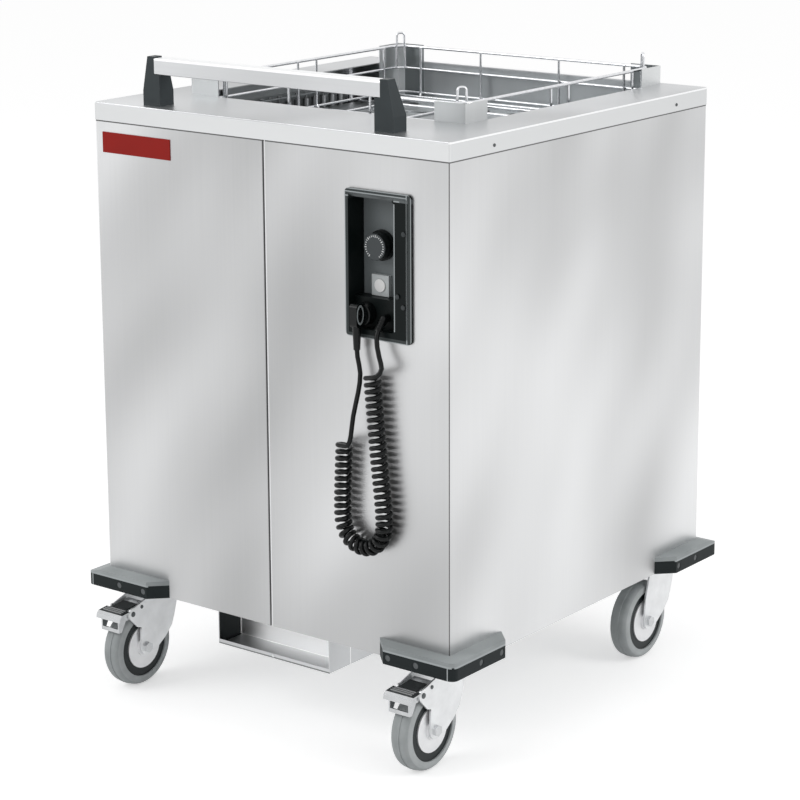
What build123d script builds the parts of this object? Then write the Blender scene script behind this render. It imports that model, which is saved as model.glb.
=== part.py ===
"""Mobile heated dispenser for 500 mm baskets of plates and cups.

A square stainless cabinet stands on four swivel castors. A sprung platform
carries a wire basket up to the opening in the worktop, a fan and a ring
heater warm the well, and a curly mains lead parks in the control housing.
Millimetres. +X is the right-hand side, -Y the front, +Z up, and the origin is
on the floor under the middle of the outline.
"""
import os
from math import cos, pi, radians, sin, sqrt, tan

from build123d import *

os.makedirs("parts", exist_ok=True)

# Cabinet
body_width = 660.0
body_depth = 666.0
castor_height = 155.0
worktop_height = 912.0
sheet = 1.5
worktop_flange = 27.0
worktop_corner_radius = 3.0
panel_seam = 1.6
return_depth = 18.0
pan_flange = 24.0
pan_gap = 0.3

# Opening in the worktop and the well under it
opening_size = 516.0
opening_offset_x = -7.0
opening_front_margin = 143.0
well_side_room = 42.0
well_front_room = 24.0
well_sheet = 1.2
guide_wing = 54.0
guide_rise = 28.0

# Basket of welded wire
basket_size = 500.0
basket_corner_radius = 26.0
rim_wire = 5.0
basket_wire = 4.0
weld_bite = 0.5
mid_rim_drop = 36.0
low_rim_drop = 76.0
upright_offset_front = 77.0
upright_offset_side = 23.0
upright_offset_outer = 200.0
floor_wire_offsets = (138.0, 225.0)
loop_rise = 22.0
loop_bend_radius = 6.0
seat_gap = 0.3

# Lift platform, its guide rods and its springs
platform_sheet = 2.0
platform_gap = 5.0
platform_edge = 18.0
platform_hole_radius = 19.0
platform_hole_pitch = 72.0
platform_hole_count = 6
cross_bar_width = 30.0
cross_bar_height = 15.0
cross_bar_offset = 108.0
hanger_offset = 262.0
hanger_half_length = 176.0
hanger_height = 150.0
hanger_flange = 32.0
rod_diameter = 12.0
rod_offset_x = 283.0
rod_offset_y = 158.0
running_clearance = 0.05
bush_diameter = 22.0
bush_collar_diameter = 27.0
bush_collar = 2.0
bush_length = 12.0
bush_seat_clearance = 0.1
spring_diameter = 11.0
spring_offset_x = 274.5
spring_pitch = 22.0
spring_count = 12
spring_hook_wire = 2.0
spring_hook_length = 8.0
spring_neck = 7.0
spring_rail_height = 878.0
spring_rail_sheet = 2.0
spring_rail_leg = 30.0
spring_slot_width = 5.0

# Push handle
handle_centre_x = -12.0
handle_span = 435.0
bracket_width = 33.0
bracket_depth = 30.0
bracket_height = 73.0
bracket_setback = 16.0
bracket_upright = 22.0
bracket_side_taper = 10.0
bracket_top_width = 13.0
bracket_top_depth = 17.0
handle_bar_size = 24.0
handle_bar_corner = 2.0
handle_bar_drop = 2.0
handle_screw_diameter = 6.0
handle_screw_length = 16.0
handle_screw_spacing = 16.0

# Corner bumpers
bumper_wing = 125.0
bumper_reach = 25.0
bumper_height = 27.0
bumper_outer_height = 20.0
bumper_corner_radius = 11.0
bumper_screw_diameter = 5.0
bumper_screw_places = (42.0, 92.0)
bumper_screw_head = 9.0
bumper_screw_head_height = 3.0
bumper_screw_recess = 3.6
screw_clearance = 0.2

# Name plate, left blank
badge_left = 14.0
badge_top = 44.0
badge_width = 136.0
badge_height = 31.0
badge_thickness = 1.2

# Control housing
housing_left = 151.0
housing_width = 116.0
housing_top_gap = 52.0
housing_height = 211.0
housing_proud = 4.0
housing_wall = 2.5
housing_depth = 33.0
recess_left_border = 6.0
recess_right_border = 30.0
recess_top_border = 12.0
recess_bottom_border = 13.0
recess_corner_radius = 5.0
housing_corner_radius = 7.0
cutout_gap = 0.5
plate_sheet = 1.5
knob_x = 40.0
knob_height = 750.0
knob_diameter = 38.5
knob_reach = 20.0
knob_skirt = 44.0
knob_skirt_depth = 4.0
shaft_diameter = 6.0
thermostat_body_size = 32.0
thermostat_body_depth = 24.0
switch_x = 39.5
switch_height = 693.0
switch_size = 30.0
switch_reach = 6.5
switch_bore = 19.0
button_diameter = 18.4
button_travel = 3.0
button_proud = 1.5
button_length = 9.0
switch_body_diameter = 24.0
switch_body_depth = 22.0
block_height = 42.5
block_depth = 20.0
panel_screw_diameter = 3.5
panel_screw_head = 7.0
panel_screw_head_height = 2.0
panel_screw_length = 8.0
panel_screw_offsets = ((18.0, 28.0), (17.0, -75.0), (7.0, -61.0))
bezel_slope = 6.0
groove_reach = 21.5
groove_width = 1.2
groove_depth = 1.0
shaft_engagement = 12.0
knob_gap = 0.5
plug_hole_clearance = 0.3

# Mains plug, parked in the block, and its lead
plug_x = 178.0
plug_height = 655.0
plug_diameter = 33.0
plug_body_depth = 16.0
plug_edge = 2.0
plug_grip_width = 13.0
plug_grip_reach = 17.0
plug_grip_height = 34.0
plug_grip_corner = 6.0
plug_grip_hole_radius = 4.5
plug_boot_start = 12.0
plug_boot_length = 37.0
plug_boot_top_radius = 6.5
plug_boot_end_radius = 4.8
plug_pin_diameter = 4.8
plug_pin_spacing = 19.0
plug_pin_length = 17.0
outlet_x = 214.0
outlet_height = 652.0
boot_stub = 9.0
boot_angle = 48.0
boot_length = 20.0
boot_base_radius = 6.0
boot_end_radius = 4.6
boot_rib_count = 4
boot_rib_pitch = 4.0
boot_rib_width = 1.6
boot_rib_height = 0.7
cord_diameter = 7.0
coil_radius = 9.5
coil_turns = 44
coil_stand_off = 3.0
coil_bend_radius = 37.0
coil_route = ((207.0, 572.0), (229.0, 320.0), (150.0, 320.0), (156.0, 466.0))

# Air box with the fan and the ring heater
air_box_width = 216.0
air_box_depth = 470.0
air_box_drop = 52.0
air_box_setback = 3.0
air_box_sheet = 1.2
air_box_lip = 7.0
air_box_panel_inset = 50.0
fan_y_from_front = 401.0
motor_diameter = 84.0
motor_height = 42.0
motor_shaft_diameter = 8.0
motor_shaft_length = 36.0
impeller_diameter = 150.0
impeller_height = 24.0
impeller_plate = 1.5
impeller_blades = 10
impeller_blade_sheet = 1.2
impeller_hub_diameter = 24.0
impeller_lift = 8.0
heater_ring_radius = 100.0
heater_tube_diameter = 8.5
heater_lift = 22.0
heater_gap_angle = 24.0
heater_tail = 34.0
well_floor_height = 56.0

# Castors
castor_inset = 49.0
castor_trail = 45.0
wheel_diameter = 125.0
tyre_width = 32.0
tyre_shoulder = 9.0
rim_radius = 47.5
rim_width = 27.0
hub_disc_radius = 34.5
hub_disc_width = 31.0
hub_boss_radius = 15.0
hub_boss_width = 37.4
axle_diameter = 12.0
axle_head = 15.0
axle_head_height = 4.5
fork_gap = 38.0
fork_sheet = 3.0
fork_crown_height = 140.0
race_radius = 30.0
race_height = 3.0
race_gap = 0.4
top_race_radius = 33.0
top_plate_size = 86.0
top_plate_sheet = 3.0
king_pin_diameter = 12.0
king_pin_head = 22.0
king_pin_head_height = 5.0
castor_bolt_diameter = 8.0
castor_bolt_spacing = 72.0
castor_bolt_head = 13.0
castor_bolt_head_height = 4.0
castor_bolt_length = 12.0
pedal_pivot_reach = 74.5
pedal_pivot_height = 124.0
pedal_pin_diameter = 6.0
pedal_sheet = 2.5
pedal_side_gap = 0.4
pedal_half_width = 17.0
pedal_pad_half_width = 25.0
pedal_tab_reach = 103.0
pedal_tab_bottom = 100.0
pedal_tab_height = 6.0
tyre_rib_width = 4.0
tyre_rib_height = 0.8
fork_boss_radius = 13.0
fork_ear_radius = 9.5
fork_crown_reach = 40.0

# Levels and places that follow
wheel_radius = wheel_diameter / 2
castor_x = body_width / 2 - castor_inset
castor_from_middle = body_depth / 2 - castor_inset
front_reach = castor_from_middle + castor_trail + wheel_radius
rear_reach = body_depth / 2 + bumper_reach
middle_y = (front_reach - rear_reach) / 2
front_y = middle_y - body_depth / 2
rear_y = middle_y + body_depth / 2
side_x = body_width / 2
inner_x = side_x - sheet
body_bottom = castor_height
pan_top = body_bottom + sheet
worktop_under = worktop_height - sheet

opening_x = opening_offset_x
opening_y = front_y + opening_front_margin + opening_size / 2
guide_outer = opening_size / 2
guide_inner = guide_outer - sheet
guide_top = worktop_height + guide_rise

well_half_x = guide_outer + well_side_room
well_front = opening_y - guide_outer - well_front_room
well_rear = opening_y + guide_outer + well_sheet

rim_height = guide_top - rim_wire / 2
mid_rim_height = rim_height - mid_rim_drop
low_rim_height = rim_height - low_rim_drop
cross_wire_height = low_rim_height - basket_wire + weld_bite
along_wire_height = cross_wire_height - basket_wire + weld_bite
platform_top = along_wire_height - basket_wire / 2 - seat_gap
platform_half = guide_inner - platform_gap
frame_top = platform_top - platform_sheet
lower_flange_height = frame_top - hanger_height

recess_left = housing_left + recess_left_border
recess_right = housing_left + housing_width - recess_right_border
housing_top = worktop_height - worktop_flange - housing_top_gap
housing_bottom = housing_top - housing_height
recess_top = housing_top - recess_top_border
recess_bottom = housing_bottom + recess_bottom_border
recess_back = front_y + housing_depth
plate_face = recess_back - plate_sheet
block_face = plate_face - block_depth
knob_place_x = recess_left + knob_x - recess_left_border
switch_place_x = recess_left + switch_x - recess_left_border

air_box_bottom = body_bottom - air_box_drop
air_box_front = front_y + air_box_setback
fan_y = front_y + fan_y_from_front


def keep(builder, name):
    """Label a finished piece and write its STEP file."""
    builder.part.label = name
    export_step(builder.part, f"parts/{name}.step")


def block(low, high, mode=Mode.ADD):
    """Add a box between two opposite corners."""
    centre = [(a + b) / 2 for a, b in zip(low, high)]
    size = [b - a for a, b in zip(low, high)]
    with Locations(tuple(centre)):
        Box(*size, mode=mode)


def rod(start, direction, length, radius, mode=Mode.ADD):
    """Add a cylinder from a start point along a direction."""
    with BuildSketch(Plane(origin=start, z_dir=direction)) as section:
        Circle(radius)
    extrude(section.sketch, amount=length, mode=mode)


def cone(start, direction, length, start_radius, end_radius):
    """Add a tapered round stretch from a start point along a direction."""
    base = Plane(origin=start, z_dir=direction)
    with BuildSketch(base) as near_end:
        Circle(start_radius)
    with BuildSketch(base.offset(length)) as far_end:
        Circle(end_radius)
    loft(sections=[near_end.sketch, far_end.sketch])


def sweep_wire(path, diameter):
    """Add a round section swept along a path."""
    with BuildSketch(Plane(origin=path.position_at(0), z_dir=path.tangent_at(0))) as section:
        Circle(diameter / 2)
    sweep(sections=section.sketch, path=path)


def front_plane(y):
    """A sketch plane that faces the front, with X across and Z up."""
    return Plane(origin=(0, y, 0), z_dir=(0, -1, 0), x_dir=(1, 0, 0))


def side_plane(x):
    """A sketch plane that faces the right-hand side, with Y across and Z up."""
    return Plane(origin=(x, 0, 0), z_dir=(1, 0, 0), x_dir=(0, 1, 0))


def bumper_screw_axes():
    """Each bumper screw as a point on the body's face and an outward direction."""
    axes = []
    height = body_bottom + bumper_outer_height / 2
    for across in (-1, 1):
        for along in (-1, 1):
            face_y = middle_y + along * body_depth / 2
            for place in bumper_screw_places:
                axes.append(((across * (side_x - place), face_y, height), (0, along, 0)))
                axes.append(((across * side_x, face_y - along * place, height), (across, 0, 0)))
    return axes


def cut_bumper_screw_holes():
    """Clear the bumper screws through the sheets of the body."""
    for (x, y, z), (dx, dy, dz) in bumper_screw_axes():
        start = (x + dx * sheet, y + dy * sheet, z)
        inward = (-dx, -dy, -dz)
        rod(start, inward, 5 * sheet, bumper_screw_diameter / 2 + screw_clearance, Mode.SUBTRACT)


# Worktop: a pressed tray with the opening and a turned-down edge
top_half_x = side_x + sheet
top_half_y = body_depth / 2 + sheet
flange_bottom = worktop_height - worktop_flange
bracket_centre_y = front_y + bracket_setback + bracket_depth / 2
bracket_places = [handle_centre_x + side * handle_span / 2 for side in (-1, 1)]
handle_screw_places = [
    (x, bracket_centre_y + end * handle_screw_spacing / 2) for x in bracket_places for end in (-1, 1)
]
with BuildPart() as worktop:
    with BuildSketch(Plane.XY.offset(flange_bottom)):
        with Locations((0, middle_y)):
            RectangleRounded(2 * top_half_x, 2 * top_half_y, worktop_corner_radius)
    extrude(amount=worktop_flange)
    fillet(worktop.faces().sort_by(Axis.Z)[-1].edges(), radius=sheet * 0.8)
    block(
        (-side_x, middle_y - body_depth / 2, flange_bottom),
        (side_x, middle_y + body_depth / 2, worktop_under),
        Mode.SUBTRACT,
    )
    with BuildSketch(Plane.XY.offset(worktop_under)):
        with Locations((opening_x, opening_y)):
            Rectangle(opening_size, opening_size)
    extrude(amount=sheet, mode=Mode.SUBTRACT)
    for x, y in handle_screw_places:
        hole_radius = handle_screw_diameter / 2 + screw_clearance
        rod((x, y, worktop_under), (0, 0, 1), sheet, hole_radius, Mode.SUBTRACT)
keep(worktop, "worktop")

# Front panels: two folded sheets that meet at the middle seam
cut_margin = housing_wall + cutout_gap
cut_left = recess_left - cut_margin
cut_right = recess_right + cut_margin
cut_top = recess_top + cut_margin
cut_bottom = recess_bottom - cut_margin
panel_screw_places = [
    (recess_right + reach, knob_height + rise) for reach, rise in panel_screw_offsets
]
for name, seam_edge, outer_edge, side in (
    ("front_panel_left", -panel_seam / 2, -inner_x, -1),
    ("front_panel_right", panel_seam / 2, inner_x, 1),
):
    low_x, high_x = sorted((seam_edge, outer_edge))
    seam_low, seam_high = sorted((seam_edge, seam_edge + side * sheet))
    outer_low, outer_high = sorted((outer_edge, outer_edge - side * sheet))
    with BuildPart() as front_panel:
        block((low_x, front_y, body_bottom), (high_x, front_y + sheet, worktop_under))
        block(
            (seam_low, front_y, body_bottom + pan_flange),
            (seam_high, front_y + return_depth, worktop_under),
        )
        block((outer_low, front_y, body_bottom), (outer_high, front_y + return_depth, worktop_under))
        cut_bumper_screw_holes()
        if side > 0:
            block((cut_left, front_y, cut_bottom), (cut_right, front_y + sheet, cut_top), Mode.SUBTRACT)
            for x, z in panel_screw_places:
                hole_radius = panel_screw_diameter / 2 + screw_clearance
                rod((x, front_y, z), (0, 1, 0), sheet, hole_radius, Mode.SUBTRACT)
    keep(front_panel, name)

# Rear panel: one folded sheet
with BuildPart() as rear_panel:
    block((-inner_x, rear_y - sheet, body_bottom), (inner_x, rear_y, worktop_under))
    for low_x in (-inner_x, inner_x - sheet):
        block((low_x, rear_y - return_depth, body_bottom), (low_x + sheet, rear_y, worktop_under))
    cut_bumper_screw_holes()
keep(rear_panel, "rear_panel")

# Side panels
for name, low_x in (("side_panel_left", -side_x), ("side_panel_right", inner_x)):
    with BuildPart() as side_panel:
        block((low_x, front_y, body_bottom), (low_x + sheet, rear_y, worktop_under))
        cut_bumper_screw_holes()
    keep(side_panel, name)

# Base pan: the floor tray, drilled for castors, motor shaft and heater tails
pan_half_x = inner_x - sheet - pan_gap
pan_front = front_y + sheet
pan_rear = rear_y - sheet
castor_places = {
    "front_left": (-castor_x, middle_y - castor_from_middle),
    "front_right": (castor_x, middle_y - castor_from_middle),
    "rear_left": (-castor_x, middle_y + castor_from_middle),
    "rear_right": (castor_x, middle_y + castor_from_middle),
}
heater_tail_places = []
for side in (-1, 1):
    tail_angle = radians(-90 + side * heater_gap_angle / 2)
    heater_tail_places.append(
        (heater_ring_radius * cos(tail_angle), fan_y + heater_ring_radius * sin(tail_angle))
    )
with BuildPart() as base_pan:
    block((-pan_half_x, pan_front, body_bottom), (pan_half_x, pan_rear, body_bottom + pan_flange))
    block(
        (-pan_half_x + sheet, pan_front + sheet, pan_top),
        (pan_half_x - sheet, pan_rear - sheet, body_bottom + pan_flange),
        Mode.SUBTRACT,
    )
    for x, y in castor_places.values():
        with Locations((x, y, body_bottom + sheet / 2)):
            with GridLocations(castor_bolt_spacing, castor_bolt_spacing, 2, 2):
                Cylinder(castor_bolt_diameter / 2 + screw_clearance, sheet, mode=Mode.SUBTRACT)
    hole_radius = motor_shaft_diameter / 2 + 3 * screw_clearance
    rod((0, fan_y, body_bottom), (0, 0, 1), sheet, hole_radius, Mode.SUBTRACT)
    for x, y in heater_tail_places:
        hole_radius = heater_tube_diameter / 2 + screw_clearance
        rod((x, y, body_bottom), (0, 0, 1), sheet, hole_radius, Mode.SUBTRACT)
    cut_bumper_screw_holes()
keep(base_pan, "base_pan")

# Well walls: a square sleeve from the base pan to the worktop
with BuildPart() as well_walls:
    block(
        (opening_x - well_half_x, well_front, pan_top),
        (opening_x + well_half_x, well_rear, worktop_under),
    )
    block(
        (opening_x - well_half_x + well_sheet, well_front + well_sheet, pan_top),
        (opening_x + well_half_x - well_sheet, well_rear - well_sheet, worktop_under),
        Mode.SUBTRACT,
    )
keep(well_walls, "well_walls")

# Corner guides: four angles that steer the baskets and stand above the worktop
with BuildPart() as corner_guides:
    for across in (-1, 1):
        for along in (-1, 1):
            corner_x = opening_x + across * guide_outer
            corner_y = opening_y + along * guide_outer
            with BuildSketch(Plane.XY.offset(pan_top)):
                with BuildLine():
                    Polyline(
                        (corner_x, corner_y),
                        (corner_x - across * guide_wing, corner_y),
                        (corner_x - across * guide_wing, corner_y - along * sheet),
                        (corner_x - across * sheet, corner_y - along * sheet),
                        (corner_x - across * sheet, corner_y - along * guide_wing),
                        (corner_x, corner_y - along * guide_wing),
                        close=True,
                    )
                make_face()
            extrude(amount=guide_top - pan_top)
keep(corner_guides, "corner_guides")

# Well floor: a pierced sheet over the fan and heater, folded down at two edges
floor_level = pan_top + well_floor_height
floor_half_x = guide_inner - guide_wing
floor_half_y = guide_inner - 2 * sheet
with BuildPart() as well_floor:
    low_x, high_x = opening_x - floor_half_x, opening_x + floor_half_x
    low_y, high_y = opening_y - floor_half_y, opening_y + floor_half_y
    block((low_x, low_y, floor_level - well_sheet), (high_x, high_y, floor_level))
    for edge_y in (low_y, high_y - well_sheet):
        block((low_x, edge_y, pan_top), (high_x, edge_y + well_sheet, floor_level))
    with BuildSketch(Plane.XY.offset(floor_level - well_sheet)):
        with Locations((opening_x, opening_y)):
            with GridLocations(platform_hole_pitch, platform_hole_pitch, 5, 6):
                Circle(platform_hole_radius)
    extrude(amount=well_sheet, mode=Mode.SUBTRACT)
keep(well_floor, "well_floor")

# Basket: three wire rings, U-shaped wires under the load and a lifting loop at each corner


def wire_ring(half, height, diameter):
    """A closed ring of wire with rounded corners, around the opening's middle."""
    bend = basket_corner_radius - rim_wire / 2
    low_x, high_x = opening_x - half, opening_x + half
    low_y, high_y = opening_y - half, opening_y + half
    corners = [(low_x, low_y), (high_x, low_y), (high_x, high_y), (low_x, high_y)]
    with BuildLine(Plane.XY.offset(height)) as ring:
        FilletPolyline(*corners, radius=bend, close=True)
    sweep_wire(ring.wires()[0], diameter)


def bent_wire(points, bend, diameter):
    """A wire along straight runs with one bend radius."""
    with BuildLine() as line:
        FilletPolyline(*points, radius=bend)
    sweep_wire(line.wires()[0], diameter)


rim_half = basket_size / 2 - rim_wire / 2
upright_half = rim_half - rim_wire / 2 - basket_wire / 2 + weld_bite
thin_ring_half = upright_half + basket_wire - weld_bite
wire_bend = 2 * basket_wire
upright_top = rim_height
loop_corner = rim_half - basket_corner_radius + rim_wire / 2
loop_radius = basket_corner_radius - rim_wire - basket_wire / 2 + weld_bite
with BuildPart() as wire_basket:
    wire_ring(rim_half, rim_height, rim_wire)
    wire_ring(thin_ring_half, mid_rim_height, basket_wire)
    wire_ring(thin_ring_half, low_rim_height, basket_wire)
    for offset in (-upright_offset_outer, -upright_offset_side, upright_offset_side, upright_offset_outer):
        y = opening_y + offset
        west, east = opening_x - upright_half, opening_x + upright_half
        bent_wire(
            [
                (west, y, upright_top),
                (west, y, cross_wire_height),
                (east, y, cross_wire_height),
                (east, y, upright_top),
            ],
            wire_bend,
            basket_wire,
        )
    for offset in (-upright_offset_outer, -upright_offset_front, upright_offset_front, upright_offset_outer):
        x = opening_x + offset
        south, north = opening_y - upright_half, opening_y + upright_half
        bent_wire(
            [
                (x, south, upright_top),
                (x, south, along_wire_height),
                (x, north, along_wire_height),
                (x, north, upright_top),
            ],
            wire_bend,
            basket_wire,
        )
    for offset in floor_wire_offsets:
        for side in (-1, 1):
            y = opening_y + side * offset
            rod((opening_x - thin_ring_half, y, cross_wire_height), (1, 0, 0), 2 * thin_ring_half, basket_wire / 2)
    for across in (-1, 1):
        for along in (-1, 1):
            corner = Vector(opening_x + across * loop_corner, opening_y + along * loop_corner, 0)
            outward = Vector(across, along, 0).normalized()
            chord = Vector(-along, across, 0).normalized()
            middle = corner + outward * loop_radius
            top = Vector(0, 0, guide_top + loop_rise - basket_wire / 2)
            foot = Vector(0, 0, mid_rim_height)
            bent_wire(
                [
                    middle - chord * loop_bend_radius * 1.3 + foot,
                    middle - chord * loop_bend_radius + top,
                    middle + chord * loop_bend_radius + top,
                    middle + chord * loop_bend_radius * 1.3 + foot,
                ],
                loop_bend_radius * 0.8,
                basket_wire,
            )
keep(wire_basket, "wire_basket")

# Lift platform: a pierced tray with two folded edges and a wing over each carriage side
platform_low_x, platform_high_x = opening_x - platform_half, opening_x + platform_half
platform_low_y, platform_high_y = opening_y - platform_half, opening_y + platform_half
hanger_outer = hanger_offset + platform_sheet
with BuildPart() as platform_tray:
    block((platform_low_x, platform_low_y, frame_top), (platform_high_x, platform_high_y, platform_top))
    block(
        (opening_x - hanger_outer, opening_y - hanger_half_length, frame_top),
        (opening_x + hanger_outer, opening_y + hanger_half_length, platform_top),
    )
    for edge_y in (platform_low_y, platform_high_y - platform_sheet):
        block(
            (platform_low_x, edge_y, platform_top - platform_edge),
            (platform_high_x, edge_y + platform_sheet, platform_top),
        )
    with BuildSketch(Plane.XY.offset(frame_top)):
        with Locations((opening_x, opening_y)):
            with GridLocations(
                platform_hole_pitch, platform_hole_pitch, platform_hole_count, platform_hole_count
            ):
                Circle(platform_hole_radius)
    extrude(amount=platform_sheet, mode=Mode.SUBTRACT)
keep(platform_tray, "platform_tray")

# Carriage: two cross bars, a hanger plate each side and the flanges that hold the bushes
spring_places = [(i - (spring_count - 1) / 2) * spring_pitch for i in range(spring_count)]
upper_flange_height = platform_top - platform_edge - platform_sheet
flange_reach = hanger_outer + hanger_flange - platform_sheet
tab_inner = rod_offset_y - bush_collar_diameter / 2 - platform_sheet
bush_seat_radius = bush_diameter / 2 + bush_seat_clearance
with BuildPart() as carriage_frame:
    for offset in (-cross_bar_offset, cross_bar_offset):
        bar_y = opening_y + offset
        block(
            (opening_x - hanger_offset, bar_y - cross_bar_width / 2, frame_top - cross_bar_height),
            (opening_x + hanger_offset, bar_y + cross_bar_width / 2, frame_top),
        )
    for side in (-1, 1):
        plate_low, plate_high = sorted((opening_x + side * hanger_offset, opening_x + side * hanger_outer))
        block(
            (plate_low, opening_y - hanger_half_length, lower_flange_height),
            (plate_high, opening_y + hanger_half_length, frame_top),
        )
        flange_low, flange_high = sorted((opening_x + side * hanger_offset, opening_x + side * flange_reach))
        block(
            (flange_low, opening_y - hanger_half_length, lower_flange_height),
            (flange_high, opening_y + hanger_half_length, lower_flange_height + platform_sheet),
        )
        for end in (-1, 1):
            tab_low, tab_high = sorted((opening_y + end * tab_inner, opening_y + end * hanger_half_length))
            block(
                (flange_low, tab_low, upper_flange_height),
                (flange_high, tab_high, upper_flange_height + platform_sheet),
            )
            for flange_height in (lower_flange_height, upper_flange_height):
                rod(
                    (opening_x + side * rod_offset_x, opening_y + end * rod_offset_y, flange_height),
                    (0, 0, 1),
                    platform_sheet,
                    bush_seat_radius,
                    Mode.SUBTRACT,
                )
        for place in spring_places:
            rod(
                (opening_x + side * spring_offset_x, opening_y + place, lower_flange_height),
                (0, 0, 1),
                platform_sheet,
                spring_slot_width / 2,
                Mode.SUBTRACT,
            )
keep(carriage_frame, "carriage_frame")

# Guide bushes, one on each flange at each rod
rod_radius = rod_diameter / 2
with BuildPart() as guide_bushes:
    for side in (-1, 1):
        for end in (-1, 1):
            for flange_height in (lower_flange_height, upper_flange_height):
                bush_x = opening_x + side * rod_offset_x
                bush_y = opening_y + end * rod_offset_y
                seat = flange_height + platform_sheet
                rod((bush_x, bush_y, seat - bush_length), (0, 0, 1), bush_length, bush_diameter / 2)
                rod((bush_x, bush_y, seat), (0, 0, 1), bush_collar, bush_collar_diameter / 2)
                rod(
                    (bush_x, bush_y, seat - bush_length),
                    (0, 0, 1),
                    bush_length + bush_collar,
                    rod_radius + running_clearance,
                    Mode.SUBTRACT,
                )
keep(guide_bushes, "guide_bushes")

# Guide rods, from the base pan to the worktop
with BuildPart() as guide_rods:
    for side in (-1, 1):
        for end in (-1, 1):
            foot = (opening_x + side * rod_offset_x, opening_y + end * rod_offset_y, pan_top)
            rod(foot, (0, 0, 1), worktop_under - pan_top, rod_radius)
keep(guide_rods, "guide_rods")

# Spring rails: an angle on each side wall of the well
wall_inner = well_half_x - well_sheet
rail_inner = wall_inner - spring_rail_leg
rail_half_length = spring_count * spring_pitch / 2
rail_top = spring_rail_height + spring_rail_sheet
with BuildPart() as spring_rails:
    for side in (-1, 1):
        leg_low, leg_high = sorted((opening_x + side * rail_inner, opening_x + side * wall_inner))
        block(
            (leg_low, opening_y - rail_half_length, spring_rail_height),
            (leg_high, opening_y + rail_half_length, rail_top),
        )
        back_low, back_high = sorted(
            (opening_x + side * (wall_inner - spring_rail_sheet), opening_x + side * wall_inner)
        )
        block(
            (back_low, opening_y - rail_half_length, spring_rail_height - spring_rail_leg),
            (back_high, opening_y + rail_half_length, rail_top),
        )
        for place in spring_places:
            rod(
                (opening_x + side * spring_offset_x, opening_y + place, spring_rail_height),
                (0, 0, 1),
                spring_rail_sheet,
                spring_slot_width / 2,
                Mode.SUBTRACT,
            )
keep(spring_rails, "spring_rails")

# Lift springs: close-wound and smooth, with a cross hook over each rail and under each flange
hook_radius = spring_hook_wire / 2
with BuildPart() as lift_springs:
    for side in (-1, 1):
        for place in spring_places:
            x, y = opening_x + side * spring_offset_x, opening_y + place
            low_hook = lower_flange_height - hook_radius
            high_hook = rail_top + hook_radius
            low_coil = lower_flange_height + platform_sheet + spring_neck
            high_coil = spring_rail_height - spring_neck
            rod((x, y, low_hook), (0, 0, 1), high_hook - low_hook, hook_radius)
            rod((x, y, low_coil), (0, 0, 1), high_coil - low_coil, spring_diameter / 2)
            for hook_height in (low_hook, high_hook):
                rod((x, y - spring_hook_length / 2, hook_height), (0, 1, 0), spring_hook_length, hook_radius)
keep(lift_springs, "lift_springs")

# Handle brackets: upright below, drawn in above, with an inner shoulder under the bar
bracket_front = front_y + bracket_setback
shoulder_height = bracket_height - handle_bar_drop - handle_bar_size
shoulder_width = bracket_width - bracket_side_taper - bracket_top_width
with BuildPart() as handle_brackets:
    for place, outward in zip(bracket_places, (-1, 1)):
        inner_face = place - outward * bracket_width / 2
        outer_face = place + outward * bracket_width / 2
        top_inner = inner_face + outward * shoulder_width
        with BuildSketch(Plane(origin=(0, bracket_front, worktop_height), z_dir=(0, -1, 0), x_dir=(1, 0, 0))):
            with BuildLine():
                Polyline(
                    (inner_face, 0),
                    (outer_face, 0),
                    (outer_face, bracket_upright),
                    (outer_face - outward * bracket_side_taper, bracket_height),
                    (top_inner, bracket_height),
                    (top_inner, shoulder_height),
                    (inner_face, shoulder_height),
                    close=True,
                )
            make_face()
        extrude(amount=-bracket_depth)
    with BuildSketch(Plane(origin=(0, bracket_front, worktop_height), z_dir=(1, 0, 0), x_dir=(0, 1, 0))):
        with BuildLine():
            Polyline(
                (bracket_depth, bracket_upright),
                (bracket_depth, bracket_height),
                (bracket_top_depth, bracket_height),
                close=True,
            )
        make_face()
    extrude(amount=body_width, both=True, mode=Mode.SUBTRACT)
    for x, y in handle_screw_places:
        rod(
            (x, y, worktop_height),
            (0, 0, 1),
            handle_screw_length,
            handle_screw_diameter / 2,
            Mode.SUBTRACT,
        )
keep(handle_brackets, "handle_brackets")

# Handle bar, resting on both shoulders
bar_ends = [
    place - outward * (bracket_width / 2 - shoulder_width)
    for place, outward in zip(bracket_places, (-1, 1))
]
bar_bottom = worktop_height + shoulder_height
with BuildPart() as handle_bar:
    block(
        (bar_ends[0], bracket_front, bar_bottom),
        (bar_ends[1], bracket_front + handle_bar_size, bar_bottom + handle_bar_size),
    )
    fillet(handle_bar.edges().filter_by(Axis.X), radius=handle_bar_corner)
keep(handle_bar, "handle_bar")

# Handle screws, up through the worktop into the brackets
with BuildPart() as handle_screws:
    for x, y in handle_screw_places:
        head_height = handle_screw_diameter * 0.6
        rod((x, y, worktop_under - head_height), (0, 0, 1), head_height, handle_screw_diameter * 0.85)
        rod((x, y, worktop_under), (0, 0, 1), handle_screw_length, handle_screw_diameter / 2)
keep(handle_screws, "handle_screws")

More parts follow.
